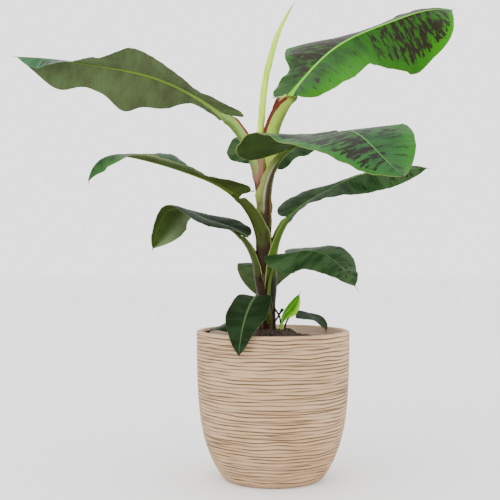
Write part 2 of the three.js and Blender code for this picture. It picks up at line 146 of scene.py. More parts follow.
def lumps(x: Array, y: Array, seed: int) -> Array:
    """Seeded value noise of two variables, 0 to 1, on a lattice of unit cells.

    Each cell's corners hold random values, joined by the smooth step in x and y.  The
    lattice repeats after LATTICE cells both ways.

    Args:
        x: first coordinate.
        y: second coordinate, of the same shape.
        seed: picks the noise.

    Returns:
        The noise at each point.
    """
    table = np.random.default_rng(seed).random((LATTICE, LATTICE))
    i, j = np.floor(x).astype(int), np.floor(y).astype(int)
    fx, fy = smooth(0, 1, x - i), smooth(0, 1, y - j)
    corner = {(a, b): table[(i + a) % LATTICE, (j + b) % LATTICE] for a in (0, 1) for b in (0, 1)}
    near = mix(corner[0, 0], corner[1, 0], fx)
    far = mix(corner[0, 1], corner[1, 1], fx)
    return mix(near, far, fy)


def bearings(sides: int) -> Array:
    """Row of evenly spaced angles once round, without the last."""
    return np.linspace(0, FULL_TURN, sides, endpoint=False)[None, :]


# ------------------------------------------------------------------ surfaces and pieces
@dataclass
class Shell:
    """A closed surface under construction, with named values at its points."""

    points: Array
    faces: list[list[int]]
    values: dict[str, Array] = field(default_factory=dict)

    def volume(self) -> float:
        """Works out the signed volume, which is positive where the faces point out.

        Returns:
            The sum of a . (b x c) / 6 over the fan triangles of each face.
        """
        total = 0.0
        for size in (3, 4):
            chosen = np.array([f for f in self.faces if len(f) == size], int).reshape(-1, size)
            for k in range(1, size - 1):
                a, b, c = (self.points[chosen[:, i]] for i in (0, k, k + 1))
                total += float(np.einsum("ij,ij->i", a, np.cross(b, c)).sum()) / 6
        return total

    def outward(self) -> "Shell":
        """Turns the faces out where the signed volume says that they point in.

        Returns:
            The shell itself.
        """
        if self.volume() < 0:
            self.faces = [face[::-1] for face in self.faces]
        return self


def grid_faces(rows: int, columns: int, ring: bool = False) -> Array:
    """Quads between neighbouring rows and columns of a grid of points.

    Args:
        rows: number of rows.
        columns: points in a row.
        ring: whether the last column joins the first.

    Returns:
        One row of four point numbers for each quad.
    """
    row = np.arange(rows - 1)[:, None] * columns
    column = np.arange(columns if ring else columns - 1)[None, :]
    a = row + column
    b = row + (column + 1) % columns
    return np.stack([a, b, b + columns, a + columns], -1).reshape(-1, 4)


def sheet(top: Array, bottom: Array, values: dict[str, Array], under: bool = True) -> Shell:
    """Closes two matching grids of points into one thin body.

    Args:
        top: points of the upper face, rows x columns x 3.
        bottom: points of the lower face, in the same order.
        values: named values on the grid, the same for both faces.
        under: whether to add the value "under", 0 on top and 1 below.

    Returns:
        The closed shell: both faces and the wall round their rim.
    """
    rows, columns = top.shape[:2]
    count = rows * columns
    face = grid_faces(rows, columns)
    rim = np.concatenate([
        np.arange(columns),
        np.arange(1, rows) * columns + columns - 1,
        (rows - 1) * columns + np.arange(columns - 2, -1, -1),
        np.arange(rows - 2, 0, -1) * columns,
    ])
    after = np.roll(rim, -1)
    wall = np.stack([after, rim, rim + count, after + count], -1)
    faces = np.concatenate([face, face[:, ::-1] + count, wall]).tolist()
    both = {k: np.concatenate([v.reshape(count, -1)] * 2).squeeze() for k, v in values.items()}
    if under:
        both["under"] = np.repeat([0.0, 1.0], count)
    return Shell(np.concatenate([top.reshape(-1, 3), bottom.reshape(-1, 3)]), faces, both).outward()


def tube(rings: Array, values: dict[str, Array]) -> Shell:
    """Closes a grid of rings into one body, with a fan of triangles over each end.

    Args:
        rings: points, rings x sides x 3.
        values: named values on the grid.

    Returns:
        The closed shell.
    """
    rows, sides = rings.shape[:2]
    count = rows * sides
    faces = grid_faces(rows, sides, ring=True).tolist()
    for start, centre, step in ((0, count, -1), (count - sides, count + 1, 1)):
        for k in range(sides):
            fan = [start + k, start + (k + 1) % sides, centre]
            faces.append(fan[::step])
    points = np.concatenate([rings.reshape(-1, 3), [rings[0].mean(0)], [rings[-1].mean(0)]])
    ends = {
        k: np.concatenate([v.reshape(count, -1), v[0].reshape(sides, -1).mean(0, keepdims=True),
                           v[-1].reshape(sides, -1).mean(0, keepdims=True)]).squeeze()
        for k, v in values.items()
    }
    return Shell(points, faces, ends).outward()


def twig(knots: Sequence[Sequence[float]], radii: Sequence[float], marks: dict[str, float]) -> Shell:
    """A thin round twig through points, for dried ends and little stems.

    Args:
        knots: points that a smooth curve passes at equal steps.
        radii: the twig's radius along it, read in the same way.
        marks: named values that hold for all of it.

    Returns:
        The closed shell.
    """
    t = np.linspace(0, 1, 8 * len(knots))
    path = np.stack([along(axis, t) for axis in np.array(knots).T], -1)
    ahead = unit(np.gradient(path, axis=0))
    flat = unit(np.cross(ahead, (0.3, 1.0, 0.1)))
    high = np.cross(ahead, flat)
    angle = bearings(10)[..., None]
    ring = flat[:, None] * np.cos(angle) + high[:, None] * np.sin(angle)
    rings = path[:, None] + ring * along(radii, t)[:, None, None]
    return tube(rings, {name: np.full(rings.shape[:2], value) for name, value in marks.items()})


def join(shells: Sequence[Shell]) -> Shell:
    """Puts several closed shells into one.

    Args:
        shells: the shells, which may hold different values.

    Returns:
        One shell, with 0 for a value that one of them lacks.
    """
    names = {name: value.shape[1:] for shell in shells for name, value in shell.values.items()}
    starts = np.cumsum([0] + [len(shell.points) for shell in shells[:-1]])
    faces = [[i + int(start) for i in face] for shell, start in zip(shells, starts) for face in shell.faces]
    values = {
        name: np.concatenate([s.values.get(name, np.zeros((len(s.points), *shape))) for s in shells])
        for name, shape in names.items()
    }
    return Shell(np.concatenate([shell.points for shell in shells]), faces, values)


def place(name: str, shell: Shell, material: bpy.types.Material, slot: str,
          *nodes: str) -> bpy.types.Object:
    """Makes a shell into a piece of the plant and reports it.

    Args:
        name: the piece's name.
        shell: its surface, in the shared frame.
        material: its finish.
        slot: the record's material slot; not used.
        nodes: the solids of the frame that it stands for.

    Returns:
        The new object.
    """
    mesh = bpy.data.meshes.new(name)
    mesh.from_pydata(shell.points.tolist(), [], shell.faces)
    mesh.polygons.foreach_set("use_smooth", np.ones(len(mesh.polygons), bool))
    for key, value in shell.values.items():
        kind, part = ("FLOAT_VECTOR", "vector") if value.ndim == 2 else ("FLOAT", "value")
        attribute = mesh.attributes.new(key, kind, "POINT")
        attribute.data.foreach_set(part, value.astype(np.float32).ravel())
    mesh.materials.append(material)
    mesh.update()
    piece = bpy.data.objects.new(name, mesh)
    bpy.context.scene.collection.objects.link(piece)
    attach(piece, "root")
    if nodes:
        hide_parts(*nodes)
    log.info("%s: %d faces, for %s", name, len(mesh.polygons), ", ".join(nodes) or "nothing")
    return piece


# ------------------------------------------------------------------ shader maths
class Wire:
    """A number in a shader: Python's operators on it add Math nodes."""

    def __init__(self, paint: "Paint", socket: bpy.types.NodeSocket) -> None:
        """Wraps an output socket of a material under construction."""
        self.paint = paint
        self.socket = socket

    def _math(self, operation: str, *operands: Any) -> "Wire":
        """Adds one Math node on numbers and wires."""
        values = {i: operand for i, operand in enumerate(operands)}
        return self.paint.node("ShaderNodeMath", {"operation": operation}, values).out(0)

    def __add__(self, other: Any) -> "Wire":
        """self + other."""
        return self._math("ADD", self, other)

    __radd__ = __add__

    def __sub__(self, other: Any) -> "Wire":
        """self - other."""
        return self._math("SUBTRACT", self, other)

    def __rsub__(self, other: Any) -> "Wire":
        """other - self."""
        return self._math("SUBTRACT", other, self)

    def __mul__(self, other: Any) -> "Wire":
        """self * other."""
        return self._math("MULTIPLY", self, other)

    __rmul__ = __mul__

    def __pow__(self, other: Any) -> "Wire":
        """self to the power other."""
        return self._math("POWER", self, other)

    def size(self) -> "Wire":
        """The number without its sign."""
        return self._math("ABSOLUTE", self)

    def step(self, low: float, high: float) -> "Wire":
        """Smooth step from 0 at low to 1 at high."""
        settings = {"interpolation_type": "SMOOTHSTEP"}
        return self.paint.node("ShaderNodeMapRange", settings, {0: self, 1: low, 2: high}).out(0)


class Block:
    """A node that was just added, with its outputs as wires."""

    def __init__(self, paint: "Paint", node: bpy.types.Node) -> None:
        """Wraps a node of a material under construction."""
        self.paint = paint
        self.node = node

    def out(self, key: Any) -> Wire:
        """The output of that number or name."""
        return Wire(self.paint, self.node.outputs[key])


class Paint:
    """A material under construction, around one Principled shader."""

    def __init__(self, name: str, **constants: Any) -> None:
        """Starts a material whose shader has the given constant sockets."""
        self.material = bpy.data.materials.new(name)
        self.material.use_nodes = True
        self.tree = self.material.node_tree
        self.tree.nodes.clear()
        plain = {key.replace("_", " ").title().replace("Ior", "IOR"): v for key, v in constants.items()}
        self.shader = self.node("ShaderNodeBsdfPrincipled", {}, plain).node
        self.node("ShaderNodeOutputMaterial", {}, {"Surface": Wire(self, self.shader.outputs[0])})

    def node(self, kind: str, settings: dict[str, Any], sockets: dict[Any, Any]) -> Block:
        """Adds a node.

        Args:
            kind: the node's type.
            settings: its properties, which are set first.
            sockets: a value or a wire for each input, by name or number.

        Returns:
            The node, wrapped.
        """
        made = self.tree.nodes.new(kind)
        for key, value in settings.items():
            setattr(made, key, value)
        for key, value in sockets.items():
            if isinstance(value, Wire):
                self.tree.links.new(value.socket, made.inputs[key])
            else:
                made.inputs[key].default_value = value
        return Block(self, made)

    def value(self, name: str) -> Wire:
        """A value that the mesh holds at its points."""
        return self.node("ShaderNodeAttribute", {"attribute_name": name}, {}).out("Fac")

    def vector(self, name: str, scale: tuple[float, float, float]) -> Wire:
        """A vector that the mesh holds at its points, scaled along each axis."""
        held = self.node("ShaderNodeAttribute", {"attribute_name": name}, {}).out("Vector")
        return self.scaled(held, scale)

    def scaled(self, vector: Wire, scale: tuple[float, float, float]) -> Wire:
        """A vector scaled along each axis."""
        return self.node("ShaderNodeVectorMath", {"operation": "MULTIPLY"}, {0: vector, 1: scale}).out(0)

    def here(self, scale: tuple[float, float, float]) -> Wire:
        """The object's own coordinates, scaled along each axis."""
        return self.scaled(self.node("ShaderNodeTexCoord", {}, {}).out("Object"), scale)

    def noise(self, vector: Wire, detail: float = 2.0, roughness: float = 0.5,
              distortion: float = 0.0) -> Wire:
        """Noise about 0.5 that varies over a unit of the vector.

        Args:
            vector: where to read it.
            detail: how many finer layers it has.
            roughness: how strong the finer layers are.
            distortion: how far it is bent.

        Returns:
            The noise.
        """
        sockets = {"Vector": vector, "Scale": 1.0, "Detail": detail, "Roughness": roughness,
                   "Distortion": distortion}
        return self.node("ShaderNodeTexNoise", {}, sockets).out(0)

    def blend(self, share: Any, low: Any, high: Any) -> Wire:
        """Mixes two colours, each a wire or a code.

        Args:
            share: how much of the second, from 0 to 1.
            low: the colour where share is 0.
            high: the colour where share is 1.

        Returns:
            The mixed colour.
        """
        settings = {"data_type": "RGBA", "clamp_factor": True}
        low, high = (tint(colour) if isinstance(colour, str) else colour for colour in (low, high))
        return self.node("ShaderNodeMix", settings, {0: share, 6: low, 7: high}).out(2)

    def shade(self, colour: Any, amount: Wire) -> Wire:
        """A colour made darker or lighter by a factor about 1."""
        vector = self.node("ShaderNodeCombineXYZ", {}, {0: amount, 1: amount, 2: amount}).out(0)
        return self.node("ShaderNodeVectorMath", {"operation": "MULTIPLY"}, {0: colour, 1: vector}).out(0)

    def bump(self, height: Wire, distance: float, strength: float = 1.0) -> None:
        """Wires a height to the shader's normal."""
        sockets = {"Height": height, "Distance": distance, "Strength": strength}
        self.feed("Normal", self.node("ShaderNodeBump", {}, sockets).out("Normal"))

    def feed(self, socket: str, wire: Wire) -> None:
        """Wires a varying colour or number to the shader."""
        self.tree.links.new(wire.socket, self.shader.inputs[socket])


# ------------------------------------------------------------------ finishes
@dataclass(frozen=True)
class LeafFinish:
    """Banana leaf: a satin upper face with veins and maroon blotches, and a dull underside."""

    name: str
    green: str
    deep: str
    # lime and under_lit are painted light: the colours of the blade lit through from behind.
    lime: str
    under: str
    under_deep: str
    rib: str
    rib_under: str
    blotch: str = "3a2a2a"
    margin: str = "a9b070"
    margin_share: float = 0.35
    rib_root: Optional[str] = None
    under_lit: Optional[str] = None
    dry: str = "3c3024"
    gloss: float = 0.42
    specular: float = 0.05

    def material(self) -> bpy.types.Material:
        """Makes the node material.

        The mesh holds "lamina", the distances along the midrib and out from it in
        metres and the half's number, and "share", "rib", "root", "under", "blotched",
        "glow" and "dried" from 0 to 1.

        Returns:
            The material.
        """
        paint = Paint(self.name, specular_ior_level=self.specular)
        veins = paint.noise(paint.vector("lamina", (420.0, 9.0, 5.0)), detail=3.0)
        broad = paint.noise(paint.vector("lamina", (46.0, 14.0, 3.0)), detail=2.0)
        patch = paint.noise(paint.vector("lamina", (105.0, 26.0, 9.0)), detail=4.0, roughness=0.62,
                            distortion=0.35)
        share, rib = paint.value("share"), paint.value("rib")
        under, dried = paint.value("under").step(0.4, 0.6), paint.value("dried")
        upper = paint.blend(broad.step(0.38, 0.66), self.green, self.deep)
        # Painted light: the upper face turned lime where light shining through the blade is painted on.
        upper = paint.blend(paint.value("glow") * (broad * 0.6 + 0.7), upper, self.lime)
        spots = (patch + paint.value("blotched") * 0.34).step(0.72, 0.765)
        upper = paint.blend(spots * 0.93, upper, self.blotch)
        stains = paint.noise(paint.vector("lamina", (30.0, 15.0, 2.0)), detail=4.0, roughness=0.55)
        lower = paint.blend(stains.step(0.3, 0.72), self.under, self.under_deep)
        # Painted light: the underside turned to its lit colour where light shining through is painted on.
        if self.under_lit:
            lower = paint.blend(paint.value("glow"), lower, self.under_lit)
        upper = paint.blend(rib, upper, self.rib)
        keel = paint.blend(paint.value("root"), self.rib_under, self.rib_root or self.rib_under)
        lower = paint.blend(rib, lower, keel)
        colour = paint.blend(under, upper, lower)
        colour = paint.blend(share.step(0.985, 0.999) * self.margin_share, colour, self.margin)
        colour = paint.blend(dried, colour, self.dry)
        colour = paint.shade(colour, veins * 0.5 + 0.75)
        paint.feed("Base Color", colour)
        paint.feed("Roughness", veins * 0.16 + under * 0.18 + dried * 0.3 + (self.gloss - 0.04))
        paint.bump(veins * (1 - rib) + broad * 0.6, distance=0.0009)
        return paint.material


@dataclass(frozen=True)
class StalkFinish:
    """Leaf stalk and sheath: a ribbed back, flanks, a paler channel and coloured margins.

    The margins' colour starts at `rim` of the way from the back, and fades over
    `rim_end` toward the foot; the head colour darkens the part near the blade that the mesh's
    chosen value marks: painted shade under the blade's base, with the stalk's own darker tone there.
    """

    name: str
    back: str
    left: str
    right: str
    inner: str
    margin: str
    foot: str
    # Painted highlight: the colour of a pale stripe along the stalk.
    highlight_stripe: Optional[str] = None
    # Painted shade under the blade's base, together with the stalk's darker tone there.
    head_tint_and_shade: Optional[str] = None
    head_tint_and_shade_value: str = "head_tint_and_shade"
    rim: float = 0.95
    rim_end: tuple[float, float] = (0.5, 0.9)

    def material(self) -> bpy.types.Material:
        """Makes the node material.

        The mesh holds "run", the distances along the stalk and across it in metres,
        "cross", -1 at the left margin, 0 at the back and 1 at the right margin,
        "under", 1 on the back's side, "foot", 1 down on the stem, and "head" and "lip",
        1 at the blade and 0 further down.

        Returns:
            The material.
        """
        paint = Paint(self.name, specular_ior_level=0.08)
        fibres = paint.noise(paint.vector("run", (14.0, 900.0, 3.0)), detail=3.0)
        patches = paint.noise(paint.vector("run", (30.0, 90.0, 3.0)), detail=3.0)
        cross, foot = paint.value("cross"), paint.value("foot")
        share = cross.size()
        outer = paint.blend((cross + patches * 0.3).step(0.35, 0.8), self.back, self.right)
        outer = paint.blend((patches * 0.3 - cross).step(0.35, 0.8), outer, self.left)
        # Painted highlight: a pale stripe along the stalk, a little right of its back.
        if self.highlight_stripe:
            outer = paint.blend(1 - (cross - 0.3).size().step(0.0, 0.22), outer, self.highlight_stripe)
        # Painted shade under the blade's base, together with the stalk's darker tone near the blade.
        if self.head_tint_and_shade:
            outer = paint.blend(paint.value(self.head_tint_and_shade_value), outer, self.head_tint_and_shade)
        colour = paint.blend(paint.value("under").step(0.4, 0.6), self.inner, outer)
        # The foot colour is the sheath's own colour down on the stem; for the green stalk it is painted
        # shade.
        colour = paint.blend((foot * 1.4 + patches - 0.5).step(0.2, 0.8), colour, self.foot)
        edge = (share + patches * 0.06).step(self.rim, self.rim + 0.04) * (1 - foot.step(*self.rim_end))
        edge = edge * (1 - paint.value("lip"))
        colour = paint.blend(edge, colour, self.margin)
        paint.feed("Base Color", paint.shade(colour, fibres * 0.45 + 0.78))
        paint.feed("Roughness", fibres * 0.2 + 0.4)
        paint.bump(fibres, distance=0.0006)
        return paint.material


@dataclass(frozen=True)
class StemFinish:
    """Pseudostem: olive and maroon sheaths with dry edges, and painted shade, dark green, on the foot's
    right.
    """

    name: str = "sheathed_stem"
    olive: str = "2a2c08"
    maroon: str = "24100a"
    # Painted shade on the stem's lower right; also the twigs' own dark green and the dark patches.
    dark: str = "161c0c"
    pale: str = "848e44"
    pink: str = "84604c"
    dry: str = "705c3c"
    scar: str = "0c0a08"

    def material(self) -> bpy.types.Material:
        """Makes the node material.

        The mesh holds "run", the height and the distance round in metres, and
        "red", "shadow", "crown", "edge" and "scar" from 0 to 1.

        Returns:
            The material.
        """
        paint = Paint(self.name, specular_ior_level=0.08)
        fibres = paint.noise(paint.vector("run", (10.0, 700.0, 1.0)), detail=3.0)
        patches = paint.noise(paint.vector("run", (22.0, 60.0, 1.0)), detail=4.0, roughness=0.6)
        reddened = (paint.value("red") + patches - 0.5).step(0.3, 0.7)
        colour = paint.blend(reddened, self.olive, self.maroon)
        # Painted shade: dark green on the stem's lower right; the twigs take the same dark green as their own
        # colour.
        colour = paint.blend(paint.value("dark_tone_and_shade"), colour, self.dark)
        flush = (paint.value("red") + patches * 0.5 - 0.25).step(0.3, 0.75)
        crown = paint.blend(flush, self.pale, self.pink)
        colour = paint.blend(paint.value("crown"), colour, crown)
        colour = paint.blend(paint.value("edge") * 0.8, colour, self.dry)
        colour = paint.blend(patches.step(0.7, 0.76) * 0.8, colour, self.dark)
        colour = paint.blend(paint.value("scar"), colour, self.scar)
        paint.feed("Base Color", paint.shade(colour, fibres * 0.6 + 0.7))
        paint.feed("Roughness", fibres * 0.25 + 0.35)
        paint.bump(fibres + patches, distance=0.0008)
        return paint.material


@dataclass(frozen=True)
class ShootFinish:
    """Rolled young leaf or shoot: pale lime with fine lines that wind round it."""

    name: str
    lime: str
    line: str
    tip: str

    def material(self) -> bpy.types.Material:
        """Makes the node material.

        The mesh holds "wind", the share of a turn round the winding lines and the
        distance along in metres, and "dried" from 0 to 1.

        Returns:
            The material.
        """
        paint = Paint(self.name, specular_ior_level=0.15)
        lines = paint.noise(paint.vector("wind", (26.0, 7.0, 1.0)), detail=2.0)
        colour = paint.blend(lines.step(0.42, 0.66), self.lime, self.line)
        colour = paint.blend(paint.value("dried"), colour, self.tip)
        paint.feed("Base Color", colour)
        paint.feed("Roughness", lines * 0.2 + 0.38)
        paint.bump(lines, distance=0.0005)
        return paint.material


@dataclass(frozen=True)
class ClayFinish:
    """Sandy clay: pale ribs, painted shade, dark brown, in the grooves, and a fine gritty surface."""

    name: str = "ribbed_clay"
    rib: str = "b99b79"
    warm: str = "ae8e6b"
    # Painted shade: the dark brown laid into the grooves.
    groove: str = "46301d"
    inside: str = "cdb39c"

    def material(self) -> bpy.types.Material:
        """Makes the node material.

        The mesh holds "groove", 0 on the ribs and 1 in the grooves, and "inside", 1
        on the inner wall.

        Returns:
            The material.
        """
        paint = Paint(self.name, specular_ior_level=0.25)
        grit = paint.noise(paint.here((420.0, 420.0, 420.0)), detail=4.0, roughness=0.7)
        drag = paint.noise(paint.here((14.0, 14.0, 420.0)), detail=3.0, roughness=0.6)
        cloud = paint.noise(paint.here((9.0, 9.0, 9.0)), detail=2.0)
        colour = paint.blend(cloud.step(0.35, 0.7), self.rib, self.warm)
        colour = paint.blend(paint.value("inside"), colour, self.inside)
        # Painted shade, darkest in the deepest part of each groove.
        colour = paint.blend(paint.value("groove") ** 0.8, colour, self.groove)
        colour = paint.shade(colour, grit * 0.5 + drag * 0.6 + 0.47)
        paint.feed("Base Color", colour)
        paint.feed("Roughness", grit * 0.15 + 0.72)
        paint.bump(grit * 0.5 + drag, distance=0.0012)
        return paint.material


@dataclass(frozen=True)
class SoilFinish:
    """Damp potting soil: brown-black crumbs with a few pale fibres."""

    name: str = "potting_soil"
    dark: str = "2c241e"
    brown: str = "6c5a4c"

    def material(self) -> bpy.types.Material:
        """Makes the node material on the object's own coordinates.

        Returns:
            The material.
        """
        paint = Paint(self.name, specular_ior_level=0.2)
        crumbs = paint.noise(paint.here((260.0, 260.0, 260.0)), detail=5.0, roughness=0.7)
        colour = paint.blend(crumbs.step(0.4, 0.7), self.dark, self.brown)
        paint.feed("Base Color", colour)
        paint.feed("Roughness", crumbs * 0.2 + 0.78)
        paint.bump(crumbs, distance=0.003)
        return paint.material


class LeafKind(Enum):
    """Which finish a blade has, by its age and place."""

    NEWEST = LeafFinish("newest_leaf", green="1c4e03", deep="143a04", lime="2c7400", under="3c5422",
                        under_deep="30441c", rib="66b022", rib_under="648630", blotch="1c0d0b",
                        specular=0.08)
    YOUNG = LeafFinish("young_leaf", green="244c22", deep="183418", lime="30721a", under="283a14",
                       under_deep="1e2e0e", rib="4c8630", rib_under="3a5016", margin="808a48",
                       blotch="180e0d", margin_share=0.7, specular=0.09)
    BACKLIT = LeafFinish("backlit_leaf", green="34603c", deep="26482c", lime="2c6440", under="4a5c36",
                         under_deep="3f452a", rib="4c6a24", rib_under="5c761c", rib_root="7c9040",
                         blotch="12140f", margin="40502a", specular=0.12)
    OLD = LeafFinish("old_leaf", green="32492a", deep="1c3216", lime="2a581a", under="465a34",
                     under_deep="384a2a", rib="4a7028", rib_under="54682a", blotch="121a0b",
                     margin="4c5c30", specular=0.03)
    SHADED = LeafFinish("shaded_leaf", green="2b4a27", deep="1c341a", lime="305e24", under="3a461e",
                        under_deep="2c3817", rib="3f6424", rib_under="465c1c", blotch="101609",
                        margin="66724a", margin_share=0.6, under_lit="66744a", specular=0.04)
    DARK = LeafFinish("dark_leaf", green="1f2f1a", deep="162411", lime="223a18", under="34441c",
                      under_deep="283615", rib="425834", rib_under="4a5c28", blotch="0c1208",
                      margin="56644a", margin_share=0.6, under_lit="5c6c48", specular=0.02)
    PUP = LeafFinish("pup_leaf", green="42820c", deep="36700a", lime="86c424", under="5ca012",
                     under_deep="3c7c0a", rib="7cc030", rib_under="70b02a", margin="6ca428",
                     blotch="2a4c08", gloss=0.38)


class StalkKind(Enum):
    """Which finish a stalk has."""

    # The red-edged stalk's head colour is painted shade under the blade's base lobe.
    RED_EDGED = StalkFinish("red_edged_stalk", back="586f26", left="86a83c", right="8ca63a",
                            inner="9aae5c", margin="5a241a", foot="848c40", head_tint_and_shade="4a5c22",
                            head_tint_and_shade_value="lip", rim=0.83, rim_end=(0.05, 0.3))
    ROSY = StalkFinish("rosy_stalk", back="5a7230", left="7c984c", right="93a64c", inner="9aae5c",
                       margin="6a2c22", foot="8c6656", rim=0.84, rim_end=(0.05, 0.3))
    # This stalk's pale stripe is a painted highlight.
    HIGHLIT = StalkFinish("highlit_stalk", back="443a22", left="32290f", right="75803f", inner="5c7038",
                         margin="927c50", foot="38281a", highlight_stripe="8e947c", head_tint_and_shade="3c4c1a")
    OLIVE = StalkFinish("olive_stalk", back="39441a", left="344014", right="404a20", inner="3c4c1a",
                        margin="6a7840", foot="2a1c10")
    # Its foot colour is painted shade, the dark green of the stem's shaded side.
    GREEN = StalkFinish("green_stalk", back="4a6418", left="547226", right="405a18", inner="5c7c34",
                        margin="7c8048", foot="181e0c")
    BRIGHT = StalkFinish("bright_stalk", back="4c5a18", left="323e12", right="505e1a", inner="4c5a24",
                         margin="6a7044", foot="3a4416")
    DARK = StalkFinish("dark_stalk", back="1c2c0b", left="17250a", right="17250a", inner="243613",
                       margin="364420", foot="131a08")


# ------------------------------------------------------------------ the stem
@dataclass(frozen=True)
class Stem:
    """The pseudostem: leaf sheaths rolled round each other, leaning a little."""

    soil_top: float = 0.341
    top: float = 0.735
    foot_x: float = -0.0115
    lean: float = -0.042
    radii: tuple[float, ...] = (0.0205, 0.0205, 0.022, 0.0205, 0.019, 0.0145, 0.0135, 0.017, 0.018)
    sink: float = 0.006
    rows: int = 330
    sides: int = 112
    sheaths: int = 7
    step: float = 0.0009
    flute: float = 0.00022
    lump: float = 0.0011
    red_bearing: float = 235
    shadow_bearing: float = -15
    seed: int = 41

    def centre(self, z: Array) -> Array:
        """Points of the stem's axis: x moves by `lean` for each metre of height."""
        x = self.foot_x + self.lean * (z - self.soil_top)
        return np.stack([x, np.zeros_like(x), z], -1)

    def radius(self, z: Array) -> Array:
        """Mean radius at a height, a smooth curve through `radii`."""
        return along(self.radii, (z - self.soil_top) / (self.top - self.soil_top))

    def build(self) -> Shell:
        """Makes the stem.

        The radius is the mean radius, plus a sawtooth for each rolled sheath: it grows
        round the stem and drops by `step` at the sheath's edge, which winds slowly.
        Low lumps and lengthwise flutes are added.

        Returns:
            The closed shell.
        """
        draw = np.random.default_rng(self.seed)
        z = np.linspace(self.soil_top - self.sink, self.top, self.rows)[:, None]
        angle = bearings(self.sides)
        mean = self.radius(z) + np.zeros_like(angle)
        rise = (z - self.soil_top) / (self.top - self.soil_top)
        edge = np.zeros_like(mean)
        relief = np.zeros_like(mean)
        for k in range(self.sheaths):
            start = FULL_TURN * draw.random()
            winding = (1.0 + 2.0 * draw.random()) * (-1) ** k
            turn = ((angle - start - winding * rise + 0.25 * wander(rise * 5, k + 5)) / FULL_TURN) % 1
            drop = smooth(0, 0.03, turn) * (turn - 0.5)
            relief += self.step * drop
            edge = np.maximum(edge, bell(turn, 0.022, 0.012) * (0.4 + 0.6 * draw.random()))
        flutes = self.flute * np.sin(17 * angle + 3 * wander(rise * 4, 3)) * wander(angle / 2 + rise, 8)
        swell = self.lump * (lumps(rise * 24, 5 * np.cos(angle) + 9, 11) - 0.5)
        radius = mean + relief + flutes + swell
        centre = self.centre(z[:, 0])[:, None, :]
        around = np.stack([np.cos(angle), np.sin(angle), np.zeros_like(angle)], -1)
        reddest = 0.5 + 0.5 * np.cos(angle - math.radians(self.red_bearing))
        darkest = 0.5 + 0.5 * np.cos(angle - math.radians(self.shadow_bearing))
        values = {
            "run": np.stack([z + 0 * angle, angle * mean, 0 * mean], -1),
            "red": np.clip(reddest * 0.9 + 0.5 * (lumps(rise * 9, 2 * np.cos(angle) + 4, 21) - 0.4), 0, 1),
            # Painted shade: the lower part of the stem's right side, toward shadow_bearing, turned dark
            # green.
            "dark_tone_and_shade": smooth(0.55, 0.95, darkest) * (1 - smooth(0.25, 0.5, rise)) * 0.9,
            "crown": smooth(0.78, 0.93, rise) + 0 * angle,
            "edge": edge,
        }
        return tube(centre + around * radius[..., None], values)


STEM = Stem()


@dataclass(frozen=True)
class Husk:
    """A dry strip of an old sheath on the stem: it clings at one edge and lifts at the other.

    Its middle runs from one bearing (degrees) and height (metres) to another; `out` is
    how far it lies off the stem's surface and `flare` how far its free edge lifts.
    """

    start: tuple[float, float]
    end: tuple[float, float]
    half_width: float
    out: float
    flare: float
    marks: tuple[tuple[str, float], ...] = (("edge", 1.2),)
    thickness: float = 0.0006
    rows: int = 60
    columns: int = 11
    seed: int = 1

    def build(self, stem: Stem) -> Shell:
        """Makes the strip.

        Its half-width follows sin(pi t)^0.6 and wanders; the lift follows sin(pi t)
        along it and a parabola across it.

        Args:
            stem: what it clings to.

        Returns:
            The closed shell.
        """
        t = np.linspace(0, 1, self.rows)[:, None]
        q = np.linspace(-1, 1, self.columns)[None, :]
        ragged = 1 + 0.35 * wander(6 * t, self.seed) * np.abs(q)
        width = self.half_width * (0.03 + np.sin(np.pi * t)) ** 0.6 * ragged
        z = mix(self.start[1], self.end[1], t)
        angle = np.radians(mix(self.start[0], self.end[0], t))
        radius = stem.radius(z)
        steep = unit(np.array([(self.end[1] - self.start[1]),
                               math.radians(self.end[0] - self.start[0]) * float(radius.mean())]))
        angle = angle + q * width * steep[0] / radius
        z = z - q * width * steep[1]
        lift = self.out + self.flare * np.sin(np.pi * t) * ((1 + q) / 2) ** 2
        around = np.stack([np.cos(angle), np.sin(angle), 0 * angle], -1)
        axis = stem.centre(z)
        surface = stem.radius(z) + lift
        inner, outer = (axis + around * (surface + side * self.thickness / 2)[..., None] for side in (-1, 1))
        values = {"run": np.stack([z, angle * radius, 0 * angle], -1)}
        values.update({name: np.full(z.shape, value) for name, value in self.marks})
        return sheet(outer, inner, values, under=False)


HUSKS = (
    Husk((-34, 0.600), (-20, 0.650), 0.0045, 0.0035, 0.0060, seed=4),
    Husk((-112, 0.606), (-42, 0.560), 0.0013, 0.0052, 0.0016, seed=6),
    Husk((-104, 0.530), (-66, 0.536), 0.0026, 0.0050, 0.0010, (("scar", 1.0),), seed=3),
    Husk((-128, 0.452), (-116, 0.470), 0.0030, 0.0044, 0.0010, (("scar", 1.0),), seed=8),
)
# The two dark little stems at the foot: points, then radii.
TWIGS = (
    (((0.002, -0.010, 0.393), (0.009, -0.013, 0.383), (0.0150, -0.0165, 0.371), (0.0165, -0.0150, 0.357)),
     (0.0020, 0.0024, 0.0021, 0.0016)),
    (((0.0225, -0.0140, 0.3905), (0.0215, -0.0140, 0.3885), (0.0165, -0.0130, 0.381), (0.010, -0.0120, 0.369),
      (0.003, -0.0100, 0.358)),
     (0.0018, 0.0042, 0.0023, 0.0021, 0.0017)),
)


# ------------------------------------------------------------------ leaves
@dataclass(frozen=True)
class Half:
    """One half of a blade, from its base to its tip.

    `lift` is its slope at the midrib and `curl` what it gains up to the margin, in
    degrees; `edge` widens or narrows it; `blotched` is how much maroon it shows, and the
    last field is how much painted light, as of light shining through the blade, turns it lime.
    """

    lift: tuple[float, ...]
    curl: tuple[float, ...] = (0, 0)
    edge: tuple[float, ...] = (1, 1)
    blotched: tuple[float, ...] = (0, 0)
    glow: tuple[float, ...] = (0, 0)


